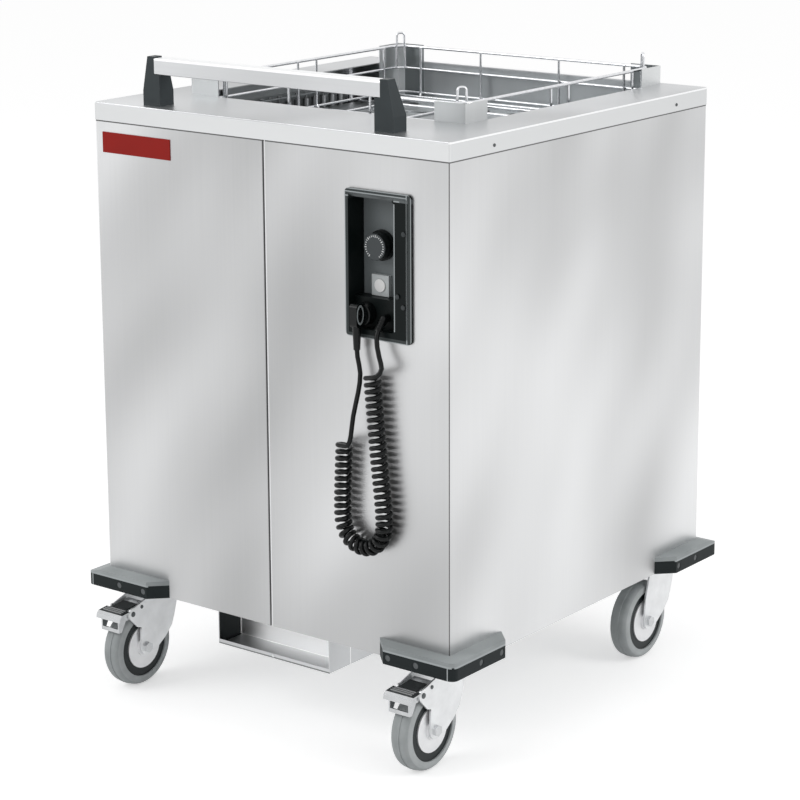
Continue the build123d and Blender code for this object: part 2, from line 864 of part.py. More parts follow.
# Corner bumpers: an L-shaped block at each corner with a sloping top
with BuildPart() as corner_bumpers:
    for across in (-1, 1):
        for along in (-1, 1):
            corner_x, corner_y = across * side_x, middle_y + along * body_depth / 2
            outer_x, outer_y = corner_x + across * bumper_reach, corner_y + along * bumper_reach
            with BuildSketch(Plane.XY.offset(body_bottom)) as plan:
                with BuildLine():
                    Polyline(
                        (corner_x, corner_y),
                        (corner_x - across * bumper_wing, corner_y),
                        (corner_x - across * (bumper_wing - bumper_reach), outer_y),
                        (outer_x, outer_y),
                        (outer_x, corner_y - along * (bumper_wing - bumper_reach)),
                        (corner_x, corner_y - along * bumper_wing),
                        close=True,
                    )
                make_face()
                outer_vertex = plan.vertices().sort_by_distance((outer_x, outer_y, body_bottom))[0]
                fillet(outer_vertex, radius=bumper_corner_radius)
            extrude(amount=bumper_height)
    for face_normal, face_place in (((0, 1, 0), body_depth / 2), ((1, 0, 0), body_width / 2)):
        for side in (-1, 1):
            outward = Vector(face_normal) * side
            across_outward = Vector(face_normal[1], face_normal[0], 0)
            origin = Vector(0, middle_y, body_bottom) + outward * face_place
            with BuildSketch(Plane(origin=origin, z_dir=across_outward, x_dir=outward)) as wedge:
                with BuildLine():
                    Polyline(
                        (0, bumper_height),
                        (bumper_reach, bumper_outer_height),
                        (bumper_reach, bumper_height),
                        close=True,
                    )
                make_face()
            extrude(wedge.sketch, amount=body_depth, both=True, mode=Mode.SUBTRACT)
    for (x, y, z), (dx, dy, dz) in bumper_screw_axes():
        rod((x, y, z), (dx, dy, dz), bumper_reach, bumper_screw_diameter / 2 + screw_clearance, Mode.SUBTRACT)
        recess_start = bumper_reach - bumper_screw_recess
        seat_point = (x + dx * recess_start, y + dy * recess_start, z)
        rod(
            seat_point,
            (dx, dy, dz),
            bumper_screw_recess,
            bumper_screw_head / 2 + screw_clearance,
            Mode.SUBTRACT,
        )
keep(corner_bumpers, "corner_bumpers")

# Bumper screws, into the body's folded edges
bumper_screw_grip = 3.5 * sheet
with BuildPart() as bumper_screws:
    for (x, y, z), (dx, dy, dz) in bumper_screw_axes():
        seat = bumper_reach - bumper_screw_recess
        tip = (x - dx * bumper_screw_grip, y - dy * bumper_screw_grip, z)
        rod(tip, (dx, dy, dz), seat + bumper_screw_grip, bumper_screw_diameter / 2)
        rod((x + dx * seat, y + dy * seat, z), (dx, dy, dz), bumper_screw_head_height, bumper_screw_head / 2)
keep(bumper_screws, "bumper_screws")

# Name plate, left blank
badge_low_x = badge_left - side_x
badge_top_height = worktop_height - badge_top
with BuildPart() as badge_plate:
    block(
        (badge_low_x, front_y - badge_thickness, badge_top_height - badge_height),
        (badge_low_x + badge_width, front_y, badge_top_height),
    )
keep(badge_plate, "badge_plate")

# Control housing: a moulded frame on the front panel round a deep recess
housing_right = housing_left + housing_width
housing_middle = ((housing_left + housing_right) / 2, (housing_bottom + housing_top) / 2)
recess_middle = ((recess_left + recess_right) / 2, (recess_bottom + recess_top) / 2)
recess_width = recess_right - recess_left
recess_height = recess_top - recess_bottom
housing_face = front_y - housing_proud
with BuildPart() as control_housing:
    with BuildSketch(front_plane(front_y)):
        with Locations(housing_middle):
            RectangleRounded(housing_width, housing_height, housing_corner_radius)
    extrude(amount=housing_proud)
    with BuildSketch(front_plane(recess_back)):
        with Locations(recess_middle):
            RectangleRounded(
                recess_width + 2 * housing_wall,
                recess_height + 2 * housing_wall,
                recess_corner_radius + housing_wall,
            )
    extrude(amount=housing_depth)
    with BuildSketch(front_plane(recess_back)):
        with Locations(recess_middle):
            RectangleRounded(recess_width, recess_height, recess_corner_radius)
    extrude(amount=housing_depth + housing_proud, mode=Mode.SUBTRACT)
    with BuildSketch(side_plane(recess_left)):
        with BuildLine():
            Polyline(
                (housing_face, recess_top),
                (housing_face, recess_top + bezel_slope),
                (front_y, recess_top),
                close=True,
            )
        make_face()
    extrude(amount=recess_width, mode=Mode.SUBTRACT)
    block(
        (recess_right + groove_reach, housing_face, housing_bottom + housing_corner_radius),
        (
            recess_right + groove_reach + groove_width,
            housing_face + groove_depth,
            housing_top - housing_corner_radius,
        ),
        Mode.SUBTRACT,
    )
    for x, z in panel_screw_places:
        hole_radius = panel_screw_diameter / 2 + screw_clearance
        rod((x, front_y, z), (0, -1, 0), housing_proud, hole_radius, Mode.SUBTRACT)
keep(control_housing, "control_housing")

# Panel screws, through the housing's right-hand border into the front panel
with BuildPart() as panel_screws:
    for x, z in panel_screw_places:
        rod((x, housing_face, z), (0, -1, 0), panel_screw_head_height, panel_screw_head / 2)
        rod((x, housing_face, z), (0, 1, 0), panel_screw_length, panel_screw_diameter / 2)
keep(panel_screws, "panel_screws")

# Control plate: the back of the recess
switch_body_radius = switch_body_diameter / 2
with BuildPart() as control_plate:
    with BuildSketch(front_plane(recess_back)):
        with Locations(recess_middle):
            RectangleRounded(recess_width, recess_height, recess_corner_radius)
    extrude(amount=plate_sheet)
    for x, z, radius in (
        (knob_place_x, knob_height, shaft_diameter / 2),
        (switch_place_x, switch_height, switch_body_radius),
    ):
        rod((x, plate_face, z), (0, 1, 0), plate_sheet, radius + screw_clearance, Mode.SUBTRACT)
keep(control_plate, "control_plate")

# Thermostat: the knob turns on the shaft of the body behind the plate
knob_back = plate_face - knob_gap
with BuildPart() as thermostat_knob:
    rod((knob_place_x, knob_back, knob_height), (0, -1, 0), knob_skirt_depth, knob_skirt / 2)
    rod((knob_place_x, knob_back, knob_height), (0, -1, 0), knob_reach - knob_gap, knob_diameter / 2)
    front_edge = thermostat_knob.faces().sort_by(Axis.Y)[0].edges()
    fillet(front_edge, radius=plate_sheet)
    bore_radius = shaft_diameter / 2 + running_clearance
    rod((knob_place_x, knob_back, knob_height), (0, -1, 0), shaft_engagement, bore_radius, Mode.SUBTRACT)
keep(thermostat_knob, "thermostat_knob")

with BuildPart() as thermostat_body:
    half = thermostat_body_size / 2
    block(
        (knob_place_x - half, recess_back, knob_height - half),
        (knob_place_x + half, recess_back + thermostat_body_depth, knob_height + half),
    )
    shaft_length = plate_sheet + shaft_engagement
    rod((knob_place_x, recess_back, knob_height), (0, -1, 0), shaft_length, shaft_diameter / 2)
keep(thermostat_body, "thermostat_body")

# Switch: a square frame with a round push button in its bore
switch_face = plate_face - switch_reach
button_face = switch_face - button_proud
bore_depth = button_length - button_proud + button_travel + knob_gap
with BuildPart() as switch_body:
    half = switch_size / 2
    block(
        (switch_place_x - half, switch_face, switch_height - half),
        (switch_place_x + half, plate_face, switch_height + half),
    )
    rod((switch_place_x, plate_face, switch_height), (0, 1, 0), switch_body_depth, switch_body_radius)
    rod((switch_place_x, switch_face, switch_height), (0, 1, 0), bore_depth, switch_bore / 2, Mode.SUBTRACT)
keep(switch_body, "switch_body")

with BuildPart() as switch_button:
    rod((switch_place_x, button_face, switch_height), (0, 1, 0), button_length, button_diameter / 2)
keep(switch_button, "switch_button")

# Outlet block: carries the lead's outlet and the dummy socket for the plug
pin_places = [plug_x + side * plug_pin_spacing / 2 for side in (-1, 1)]
with BuildPart() as outlet_block:
    with BuildSketch(front_plane(plate_face)) as outline:
        with Locations((recess_middle[0], recess_bottom + block_height / 2)):
            Rectangle(recess_width, block_height)
        lower_corners = outline.vertices().sort_by(Axis.Y)[:2]
        fillet(lower_corners, radius=recess_corner_radius)
    extrude(amount=block_depth)
    for x in pin_places:
        hole_radius = plug_pin_diameter / 2 + plug_hole_clearance
        hole_depth = plug_pin_length + plate_sheet
        rod((x, block_face, plug_height), (0, 1, 0), hole_depth, hole_radius, Mode.SUBTRACT)
keep(outlet_block, "outlet_block")

# Strain relief at the outlet: a ribbed boot that points forward and down
boot_way = Vector(0, -cos(radians(boot_angle)), -sin(radians(boot_angle)))
boot_bend = Vector(outlet_x, block_face - boot_stub, outlet_height)
boot_end = boot_bend + boot_way * boot_length
with BuildPart() as cord_boot:
    rod((outlet_x, block_face, outlet_height), (0, -1, 0), boot_stub, boot_base_radius)
    with Locations(boot_bend):
        Sphere(boot_base_radius)
    cone(boot_bend, boot_way, boot_length, boot_base_radius, boot_end_radius)
    for i in range(boot_rib_count):
        place = (i + 1) * boot_rib_pitch
        taper = (boot_base_radius - boot_end_radius) * place / boot_length
        rod(boot_bend + boot_way * place, boot_way, boot_rib_width, boot_base_radius - taper + boot_rib_height)
keep(cord_boot, "cord_boot")

# Plug: a disc on the block with two pins, a finger grip and a boot that hangs straight down
plug_face = block_face - plug_body_depth
plug_grip_middle = plug_face - plug_grip_reach / 2
plug_boot_top = plug_height - plug_boot_start
plug_exit = Vector(plug_x, plug_grip_middle, plug_boot_top - plug_boot_length)
with BuildPart() as plug:
    rod((plug_x, block_face, plug_height), (0, -1, 0), plug_body_depth, plug_diameter / 2)
    fillet(plug.faces().sort_by(Axis.Y)[0].edges(), radius=plug_edge)
    with BuildSketch(side_plane(plug_x - plug_grip_width / 2)):
        with Locations((plug_grip_middle + plug_edge, plug_height)):
            RectangleRounded(plug_grip_reach + 2 * plug_edge, plug_grip_height, plug_grip_corner)
    extrude(amount=plug_grip_width)
    rod(
        (plug_x - plug_grip_width / 2, plug_grip_middle, plug_height + plug_grip_corner / 2),
        (1, 0, 0),
        plug_grip_width,
        plug_grip_hole_radius,
        Mode.SUBTRACT,
    )
    boot_top = (plug_x, plug_grip_middle, plug_boot_top)
    cone(boot_top, (0, 0, -1), plug_boot_length, plug_boot_top_radius, plug_boot_end_radius)
    for x in pin_places:
        rod((x, block_face, plug_height), (0, 1, 0), plug_pin_length, plug_pin_diameter / 2)
keep(plug, "plug")

# Curly lead: a helix round a middle line that hangs down the panel and comes up again
cord_radius = cord_diameter / 2
coil_y = front_y - coil_stand_off - cord_radius - coil_radius
with BuildLine(front_plane(coil_y)) as coil_middle:
    FilletPolyline(*coil_route, radius=coil_bend_radius)
coil_line = coil_middle.wires()[0]
coil_step = coil_line.length / coil_turns


def coil_point(turn):
    """The helix's point after a number of turns, which start at the front."""
    centre = coil_line.position_at(turn * coil_step, position_mode=PositionMode.LENGTH)
    along = coil_line.tangent_at(turn * coil_step, position_mode=PositionMode.LENGTH)
    outward = Vector(0, -1, 0)
    sideways = along.cross(outward)
    angle = 2 * pi * turn
    return centre + outward * (coil_radius * cos(angle)) + sideways * (coil_radius * sin(angle))


def coil_way(turn):
    """The helix's direction after a number of turns."""
    small = 0.002
    before, after = max(turn - small, 0), min(turn + small, coil_turns)
    return (coil_point(after) - coil_point(before)).normalized()


def biarc(start, start_way, end, end_way):
    """Two arcs, tangent to each other and to a direction at each end."""
    chord = end - start
    ways = start_way + end_way
    spread = ways.dot(ways) - 4
    along = chord.dot(ways)
    reach = (along - sqrt(along**2 - spread * chord.dot(chord))) / spread
    first_corner = start + start_way * reach
    second_corner = end - end_way * reach
    joint = (first_corner + second_corner) * 0.5
    joint_way = (second_corner - first_corner).normalized()
    return [
        Edge.make_tangent_arc(start, start_way, joint),
        Edge.make_tangent_arc(joint, joint_way, end),
    ]


def least_gap(path, diameter, turn_length):
    """The least gap between parts of a tube that are over half a turn apart along it."""
    count = int(path.length / cord_radius) * 2
    step = path.length / count
    apart = int(turn_length * 0.6 / step)
    points = [path.position_at(i * step, position_mode=PositionMode.LENGTH) for i in range(count + 1)]
    return min(
        (a - b).length for i, a in enumerate(points) for b in points[i + apart:i + 3 * apart]
    ) - diameter


def cord_tube(points, name):
    """A tube along straight runs, each corner's arc as large as its two runs allow."""
    radii = []
    for before, corner, after in zip(points, points[1:], points[2:]):
        run_in, run_out = corner - before, after - corner
        half_turn = radians(run_in.get_angle(run_out)) / 2
        radii.append(0.45 * min(run_in.length, run_out.length) / tan(half_turn))
    with BuildLine() as route:
        FilletPolyline(*points, radius=radii)
    path = route.wires()[0]
    with BuildPart() as tube:
        sweep_wire(path, cord_diameter)
    print(name, "length", round(path.length, 1), "radii", [round(radius, 1) for radius in radii])
    print(name, "volume ratio", round(tube.part.volume / (pi * cord_radius**2 * path.length), 4))
    keep(tube, name)


half_turns = [
    (coil_point(i / 2), coil_way(i / 2)) for i in range(2 * coil_turns + 1)
]
coil_start, coil_start_way = half_turns[0]
coil_end, coil_end_way = half_turns[-1]
lead_out_end = coil_start - coil_start_way * cord_diameter
lead_plug_end = coil_end + coil_end_way * cord_diameter
coil_edges = [Edge.make_line(lead_out_end, coil_start)]
for (start, start_way), (end, end_way) in zip(half_turns, half_turns[1:]):
    coil_edges += biarc(start, start_way, end, end_way)
coil_edges.append(Edge.make_line(coil_end, lead_plug_end))
coil_path = Wire(coil_edges)
with BuildPart() as cord_coil:
    sweep_wire(coil_path, cord_diameter)
coil_gap = least_gap(coil_path, cord_diameter, coil_path.length / coil_turns)
print("cord_coil length", round(coil_path.length, 1), "least gap", round(coil_gap, 2))
print("cord_coil volume ratio", round(cord_coil.part.volume / (pi * cord_radius**2 * coil_path.length), 4))
keep(cord_coil, "cord_coil")

# The two straight leads: outlet to coil, and coil to plug, in front of the panel
cord_tube(
    [
        boot_end,
        boot_end + boot_way * cord_diameter * 1.2,
        Vector(221, front_y - 18, 602),
        Vector(230, front_y - 21, 587),
        lead_out_end - coil_start_way * 2 * cord_diameter,
        lead_out_end,
    ],
    "cord_lead_out",
)
cord_tube(
    [
        plug_exit,
        plug_exit + Vector(0, 0, -1.4 * cord_diameter),
        Vector(186, front_y - 14, 574),
        Vector(183, front_y - 17, 545),
        Vector(175, front_y - 20, 510),
        Vector(175, front_y - 24.5, 481),
        lead_plug_end + coil_end_way * 1.6 * cord_diameter,
        lead_plug_end,
    ],
    "cord_lead_plug",
)

# Air box under the base pan, open at the front
box_half_x = air_box_width / 2
box_rear = air_box_front + air_box_depth
with BuildPart() as air_box:
    block((-box_half_x, air_box_front, air_box_bottom), (box_half_x, box_rear, body_bottom))
    block(
        (-box_half_x + air_box_sheet, air_box_front, air_box_bottom + air_box_sheet),
        (box_half_x - air_box_sheet, box_rear - air_box_sheet, body_bottom),
        Mode.SUBTRACT,
    )
    block(
        (-box_half_x, air_box_front, air_box_bottom),
        (box_half_x, air_box_front + air_box_sheet, air_box_bottom + air_box_lip),
    )
    panel_y = air_box_front + air_box_panel_inset
    block((-box_half_x, panel_y, air_box_bottom), (box_half_x, panel_y + air_box_sheet, body_bottom))
keep(air_box, "air_box")

# Fan: the motor hangs under the pan and its shaft carries the impeller above it
with BuildPart() as fan_motor:
    rod((0, fan_y, body_bottom - motor_height), (0, 0, 1), motor_height, motor_diameter / 2)
    rod((0, fan_y, body_bottom), (0, 0, 1), motor_shaft_length, motor_shaft_diameter / 2)
keep(fan_motor, "fan_motor")

impeller_bottom = pan_top + impeller_lift
hub_radius = impeller_hub_diameter / 2
blade_length = impeller_diameter / 2 - 2 * hub_radius
with BuildPart() as fan_impeller:
    rod((0, fan_y, impeller_bottom), (0, 0, 1), impeller_plate, impeller_diameter / 2)
    rod((0, fan_y, impeller_bottom), (0, 0, 1), impeller_height, hub_radius)
    with Locations((0, fan_y, impeller_bottom + impeller_height / 2)):
        with PolarLocations(impeller_diameter / 2 - blade_length / 2, impeller_blades):
            Box(blade_length, impeller_blade_sheet, impeller_height)
    bore_radius = motor_shaft_diameter / 2 + running_clearance
    rod((0, fan_y, impeller_bottom), (0, 0, 1), impeller_height, bore_radius, Mode.SUBTRACT)
keep(fan_impeller, "fan_impeller")

# Ring heater round the impeller, with two tails down through the pan
heater_height = pan_top + heater_lift
heater_tube_radius = heater_tube_diameter / 2
with BuildPart() as heating_element:
    with BuildLine(Plane.XY.offset(heater_height)) as heater_ring:
        CenterArc(
            (0, fan_y), heater_ring_radius, -90 + heater_gap_angle / 2, 360 - heater_gap_angle
        )
    sweep_wire(heater_ring.wires()[0], heater_tube_diameter)
    for x, y in heater_tail_places:
        with Locations((x, y, heater_height)):
            Sphere(heater_tube_radius)
        rod((x, y, heater_height), (0, 0, -1), heater_tail, heater_tube_radius)
keep(heating_element, "heating_element")

# Castor plates: top plate, upper race and king pin, riveted together
plate_bottom = body_bottom - top_plate_sheet
crown_top = fork_crown_height + fork_sheet
lower_race_top = crown_top + race_height
king_head_top = fork_crown_height - race_gap
half_plate = top_plate_size / 2
bolt_offsets = [
    (across * castor_bolt_spacing / 2, along * castor_bolt_spacing / 2)
    for across in (-1, 1)
    for along in (-1, 1)
]
with BuildPart() as castor_plates:
    for x, y in castor_places.values():
        block((x - half_plate, y - half_plate, plate_bottom), (x + half_plate, y + half_plate, body_bottom))
        upper_race = lower_race_top + race_gap
        rod((x, y, upper_race), (0, 0, 1), plate_bottom - upper_race, top_race_radius)
        rod((x, y, king_head_top), (0, 0, 1), plate_bottom - king_head_top, king_pin_diameter / 2)
        rod((x, y, king_head_top), (0, 0, -1), king_pin_head_height, king_pin_head / 2)
        for dx, dy in bolt_offsets:
            hole_radius = castor_bolt_diameter / 2 + screw_clearance
            rod((x + dx, y + dy, plate_bottom), (0, 0, 1), top_plate_sheet, hole_radius, Mode.SUBTRACT)
keep(castor_plates, "castor_plates")

with BuildPart() as castor_bolts:
    for x, y in castor_places.values():
        for dx, dy in bolt_offsets:
            head = (x + dx, y + dy, plate_bottom)
            rod(head, (0, 0, -1), castor_bolt_head_height, castor_bolt_head / 2)
            rod(head, (0, 0, 1), castor_bolt_length, castor_bolt_diameter / 2)
keep(castor_bolts, "castor_bolts")

# Fork outlines seen from the side, as reach behind the swivel and height above the floor
fork_front_edge = [(24, 143), (24, 118), (18, 98), (12, 83), (-3, 68), (-22, 55), (-38, 51.5)]
fork_back_edge = [(-45, 62.5), (-58, 62.5), (-57, 100), (-44, 143)]
fork_ear_edge = [(-45, 62.5), (-58, 62.5), (-57, 98), (-66, 101), (-80, 116), (-72, 133.2), (-40, 143)]
pedal_strip_outline = [(-44, 133), (-44, 135.5), (-90, 130.9), (-90, 128.4)]
pedal_pad_outline = [
    (-84, 129), (-84, 131.5), (-102, 129.7), (-106.5, 126), (-107.5, 119), (-105, 119), (-104, 125), (-101.5, 127.2)
]
pedal_arm_outline = [
    (-58, 134), (-102, 129.6), (-103, 125), (-103, 100), (-97, 100), (-88, 116), (-66, 117), (-58, 126)
]


def profile(outline, x, width, at_y):
    """Add a side outline as a plate that starts at x and is as wide as asked."""
    with BuildSketch(side_plane(x)) as section:
        with BuildLine():
            Polyline(*[(at_y + reach, height) for reach, height in outline], close=True)
        make_face()
    extrude(section.sketch, amount=width)


fork_inner = fork_gap / 2
fork_outer = fork_inner + fork_sheet
pin_clear_radius = axle_diameter / 2 + running_clearance
for name, (x, y) in castor_places.items():
    braked = name.startswith("front")
    wheel_y = y - castor_trail
    ear_y = y - pedal_pivot_reach
    edge = fork_front_edge + (fork_ear_edge if braked else fork_back_edge)
    crown_front = edge[0][0]

    with BuildPart() as castor_fork:
        block((x - fork_outer, y - fork_crown_reach, fork_crown_height), (x + fork_outer, y + crown_front, crown_top))
        rod((x, y, crown_top), (0, 0, 1), race_height, race_radius)
        for low_x in (x - fork_outer, x + fork_inner):
            profile(edge, low_x, fork_sheet, y)
            rod((low_x, wheel_y, wheel_radius), (1, 0, 0), fork_sheet, fork_boss_radius)
            if braked:
                rod((low_x, ear_y, pedal_pivot_height), (1, 0, 0), fork_sheet, fork_ear_radius)
        king_bore = king_pin_diameter / 2 + running_clearance
        rod((x, y, fork_crown_height), (0, 0, 1), lower_race_top - fork_crown_height, king_bore, Mode.SUBTRACT)
        across = 2 * fork_outer
        rod((x - fork_outer, wheel_y, wheel_radius), (1, 0, 0), across, pin_clear_radius, Mode.SUBTRACT)
        if braked:
            ear_bore = pedal_pin_diameter / 2 + running_clearance
            rod((x - fork_outer, ear_y, pedal_pivot_height), (1, 0, 0), across, ear_bore, Mode.SUBTRACT)
    keep(castor_fork, f"castor_fork_{name}")

    with BuildPart() as castor_wheel:
        for radius, width in (
            (rim_radius, rim_width),
            (hub_disc_radius, hub_disc_width),
            (hub_boss_radius, hub_boss_width),
        ):
            rod((x - width / 2, wheel_y, wheel_radius), (1, 0, 0), width, radius)
        bore_start = (x - hub_boss_width / 2, wheel_y, wheel_radius)
        rod(bore_start, (1, 0, 0), hub_boss_width, pin_clear_radius, Mode.SUBTRACT)
    keep(castor_wheel, f"castor_wheel_{name}")

    with BuildPart() as castor_tyre:
        tread_start = (x - tyre_width / 2, wheel_y, wheel_radius)
        rod(tread_start, (1, 0, 0), tyre_width, wheel_radius - tyre_rib_height)
        fillet(castor_tyre.edges().filter_by(GeomType.CIRCLE), radius=tyre_shoulder)
        rib_start = (x - tyre_rib_width / 2, wheel_y, wheel_radius)
        rod(rib_start, (1, 0, 0), tyre_rib_width, wheel_radius)
        rod(tread_start, (1, 0, 0), tyre_width, rim_radius, Mode.SUBTRACT)
    keep(castor_tyre, f"castor_tyre_{name}")

    with BuildPart() as castor_axle:
        rod((x - fork_outer, wheel_y, wheel_radius), (1, 0, 0), across, axle_diameter / 2)
        for head_x in (x - fork_outer - axle_head_height, x + fork_outer):
            with BuildSketch(Plane(origin=(head_x, wheel_y, wheel_radius), z_dir=(1, 0, 0))):
                RegularPolygon(axle_head / 2, 6, major_radius=False)
            extrude(amount=axle_head_height)
    keep(castor_axle, f"castor_axle_{name}")

    if braked:
        arm_outer = fork_inner - pedal_side_gap
        with BuildPart() as brake_pedal:
            profile(pedal_strip_outline, x - pedal_half_width, 2 * pedal_half_width, y)
            profile(pedal_pad_outline, x - pedal_pad_half_width, 2 * pedal_pad_half_width, y)
            for low_x in (x - arm_outer, x + arm_outer - pedal_sheet):
                profile(pedal_arm_outline, low_x, pedal_sheet, y)
            block(
                (x - arm_outer, y - pedal_tab_reach, pedal_tab_bottom),
                (x + arm_outer, y - pedal_tab_reach + pedal_sheet, pedal_tab_bottom + pedal_tab_height),
            )
            pin_start = (x - fork_outer, ear_y, pedal_pivot_height)
            rod(pin_start, (1, 0, 0), across, pedal_pin_diameter / 2)
        keep(brake_pedal, f"brake_pedal_{name}")
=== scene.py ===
# %% [markdown]
# # A heated dispenser for baskets of plates
#
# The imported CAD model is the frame: a square stainless cabinet on four swivel castors,
# with a wire basket on a sprung platform, a push handle, a control recess and a curly
# mains lead. This script gives each piece its finish, draws the lead as one smooth
# curve, and models the small trim that the CAD model leaves out.

# %% Load the frame
import math

import bpy
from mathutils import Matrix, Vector


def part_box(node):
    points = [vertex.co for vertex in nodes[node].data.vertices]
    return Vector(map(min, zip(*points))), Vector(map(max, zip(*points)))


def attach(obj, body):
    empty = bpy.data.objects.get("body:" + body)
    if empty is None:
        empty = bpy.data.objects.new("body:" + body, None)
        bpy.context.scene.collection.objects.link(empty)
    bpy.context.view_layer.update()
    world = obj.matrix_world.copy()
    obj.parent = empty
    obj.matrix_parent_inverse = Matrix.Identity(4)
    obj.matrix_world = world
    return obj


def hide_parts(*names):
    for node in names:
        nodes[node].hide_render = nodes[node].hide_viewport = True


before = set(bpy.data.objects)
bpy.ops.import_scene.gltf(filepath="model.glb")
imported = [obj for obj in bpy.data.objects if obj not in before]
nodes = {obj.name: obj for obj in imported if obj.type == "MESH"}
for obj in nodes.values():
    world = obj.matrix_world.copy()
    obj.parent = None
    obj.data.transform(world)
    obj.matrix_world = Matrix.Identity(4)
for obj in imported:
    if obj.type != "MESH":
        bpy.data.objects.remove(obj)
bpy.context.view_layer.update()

# %% [markdown]
# ## Camera
# The photograph looks at the front and the right-hand side from a little above, with a
# long lens. The camera comes first, because every later choice is judged through it. A
# small downward shift stands in for the photographer's straightened uprights.

# %% Camera
focal_pixels = 2518.6
image_pixels = 800
camera_place = (2.3205, -3.0030, 1.4464)
heading, tilt, roll = 0.65787, -0.22886, -0.0050
bpy.ops.object.select_all(action="DESELECT")
bpy.ops.object.camera_add(location=camera_place)
camera = bpy.context.object
camera.name = "photograph_view"
camera.data.sensor_width = 36.0
camera.data.lens = focal_pixels / image_pixels * camera.data.sensor_width
camera.data.shift_y = -0.1
level_share = math.cos(tilt)
view_way = Vector((-math.sin(heading) * level_share, math.cos(heading) * level_share, math.sin(tilt)))
camera.rotation_euler = view_way.to_track_quat("-Z", "Y").to_euler()
camera.rotation_euler.rotate_axis("Z", roll)
bpy.context.scene.camera = camera
bpy.context.scene.view_settings.view_transform = "Standard"
print("lens", round(camera.data.lens, 1), "mm")

# %% [markdown]
# ## Places that come from the frame
# A piece that is added here sits on a CAD piece, so its place is worked out from that
# piece's box. These are the levels and faces that several cells below share.

# %% Shared places
worktop_low, worktop_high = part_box("worktop")
front_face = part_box("front_panel_right")[0][1]
side_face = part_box("side_panel_right")[1][0]
seam_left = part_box("front_panel_left")[1][0]
seam_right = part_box("front_panel_right")[0][0]
flange_bottom = worktop_low[2]
corners = ("front_left", "front_right", "rear_left", "rear_right")
braked_corners = corners[:2]
print("front face", round(front_face, 4), "side face", round(side_face, 4))
print("flange bottom", round(flange_bottom, 4), "seam", round(seam_left, 4), round(seam_right, 4))

# %% [markdown]
# ## Shader maths
# A finish is easier to read as a formula than as a drawing of nodes. Socket wraps one
# value in a node tree, and its operators add Math nodes, also where a number comes
# first, as in 1 - mask. A comparison gives 1 or 0, which is a mask, and & and | join
# masks. Finish is one material with a Principled shader, and a method that adds any
# other kind of node. All patterns use Object coordinates, which here are metres in the
# model's own frame.

# %% A socket that can be used in a formula


class Socket:
    """A number in a node tree."""

    def __init__(self, tree, link):
        self.tree = tree
        self.link = link

    def math(self, operation, *others):
        node = self.tree.nodes.new("ShaderNodeMath")
        node.operation = operation
        for socket, value in zip(node.inputs, (self, *others)):
            if isinstance(value, Socket):
                self.tree.links.new(value.link, socket)
            else:
                socket.default_value = value
        return Socket(self.tree, node.outputs[0])

    def __add__(self, other):
        return self.math("ADD", other)

    def __sub__(self, other):
        return self.math("SUBTRACT", other)

    def __rsub__(self, other):
        return self.math("MULTIPLY_ADD", -1.0, other)

    def __mul__(self, other):
        return self.math("MULTIPLY", other)

    def __gt__(self, other):
        return self.math("GREATER_THAN", other)

    def __lt__(self, other):
        return self.math("LESS_THAN", other)

    def __and__(self, other):
        return self.math("MULTIPLY", other)

    def __or__(self, other):
        return self.math("MAXIMUM", other)

    def __abs__(self):
        return self.math("ABSOLUTE")

    __radd__ = __add__
    __rmul__ = __mul__

    def near(self, level, reach):
        """A mask of the values within a reach of a level."""
        return abs(self - level) < reach

    def between(self, low, high):
        """A mask of the values from low to high."""
        return (self > low) & (self < high)


# %% A finish with one Principled shader


class Finish:
    """A material, made of one Principled shader and the nodes that feed it."""

    def __init__(self, name, color, roughness, metallic=0.0, specular=0.5):
        self.material = bpy.data.materials.new(name)
        self.material.use_nodes = True
        self.tree = self.material.node_tree
        self.shader = self.tree.nodes["Principled BSDF"]
        self.set("Base Color", (*color, 1.0))
        self.set("Roughness", roughness)
        self.set("Metallic", metallic)
        self.set("Specular IOR Level", specular)
        self.place = self.node("ShaderNodeTexCoord", output="Object")

    def set(self, name, value):
        """Give one input of the shader a value or a link."""
        if isinstance(value, Socket):
            self.tree.links.new(value.link, self.shader.inputs[name])
        else:
            self.shader.inputs[name].default_value = value

    def node(self, kind, settings=None, inputs=None, output=0):
        """Add a node: its settings first, then its inputs by name or number."""
        made = self.tree.nodes.new(kind)
        for key, value in (settings or {}).items():
            setattr(made, key, value)
        for key, value in (inputs or {}).items():
            if isinstance(value, Socket):
                self.tree.links.new(value.link, made.inputs[key])
            else:
                made.inputs[key].default_value = value
        return Socket(self.tree, made.outputs[output])

    def axes(self):
        """X, Y and Z of the point."""
        return [self.node("ShaderNodeSeparateXYZ", inputs={0: self.place}, output=axis) for axis in "XYZ"]

    def noise(self, scale, stretch=(1, 1, 1), detail=2.0, turn=(0, 0, 0)):
        """Noise from 0 to 1, turned and then stretched."""
        inputs = {"Vector": self.place, "Rotation": turn}
        turned = self.node("ShaderNodeMapping", inputs=inputs)
        stretched = self.node("ShaderNodeMapping", inputs={"Vector": turned, "Scale": stretch})
        inputs = {"Vector": stretched, "Scale": scale, "Detail": detail}
        return self.node("ShaderNodeTexNoise", inputs=inputs)

    def mix(self, mask, low, high):
        """One colour turning into another as the mask goes from 0 to 1."""
        low = low if isinstance(low, Socket) else (*low, 1.0)
        high = high if isinstance(high, Socket) else (*high, 1.0)
        return self.node("ShaderNodeMix", {"data_type": "RGBA"}, {0: mask, 6: low, 7: high}, output=2)

    def bump(self, height, distance, strength=0.5):
        """Raise the surface by a height from 0 to 1, over a distance in metres."""
        inputs = {"Height": height, "Distance": distance, "Strength": strength}
        self.set("Normal", self.node("ShaderNodeBump", inputs=inputs, output="Normal"))

    def on(self, *names):
        """Put this finish on CAD nodes."""
        for name in names:
            slots = nodes[name].data.materials
            slots.clear()
            slots.append(self.material)


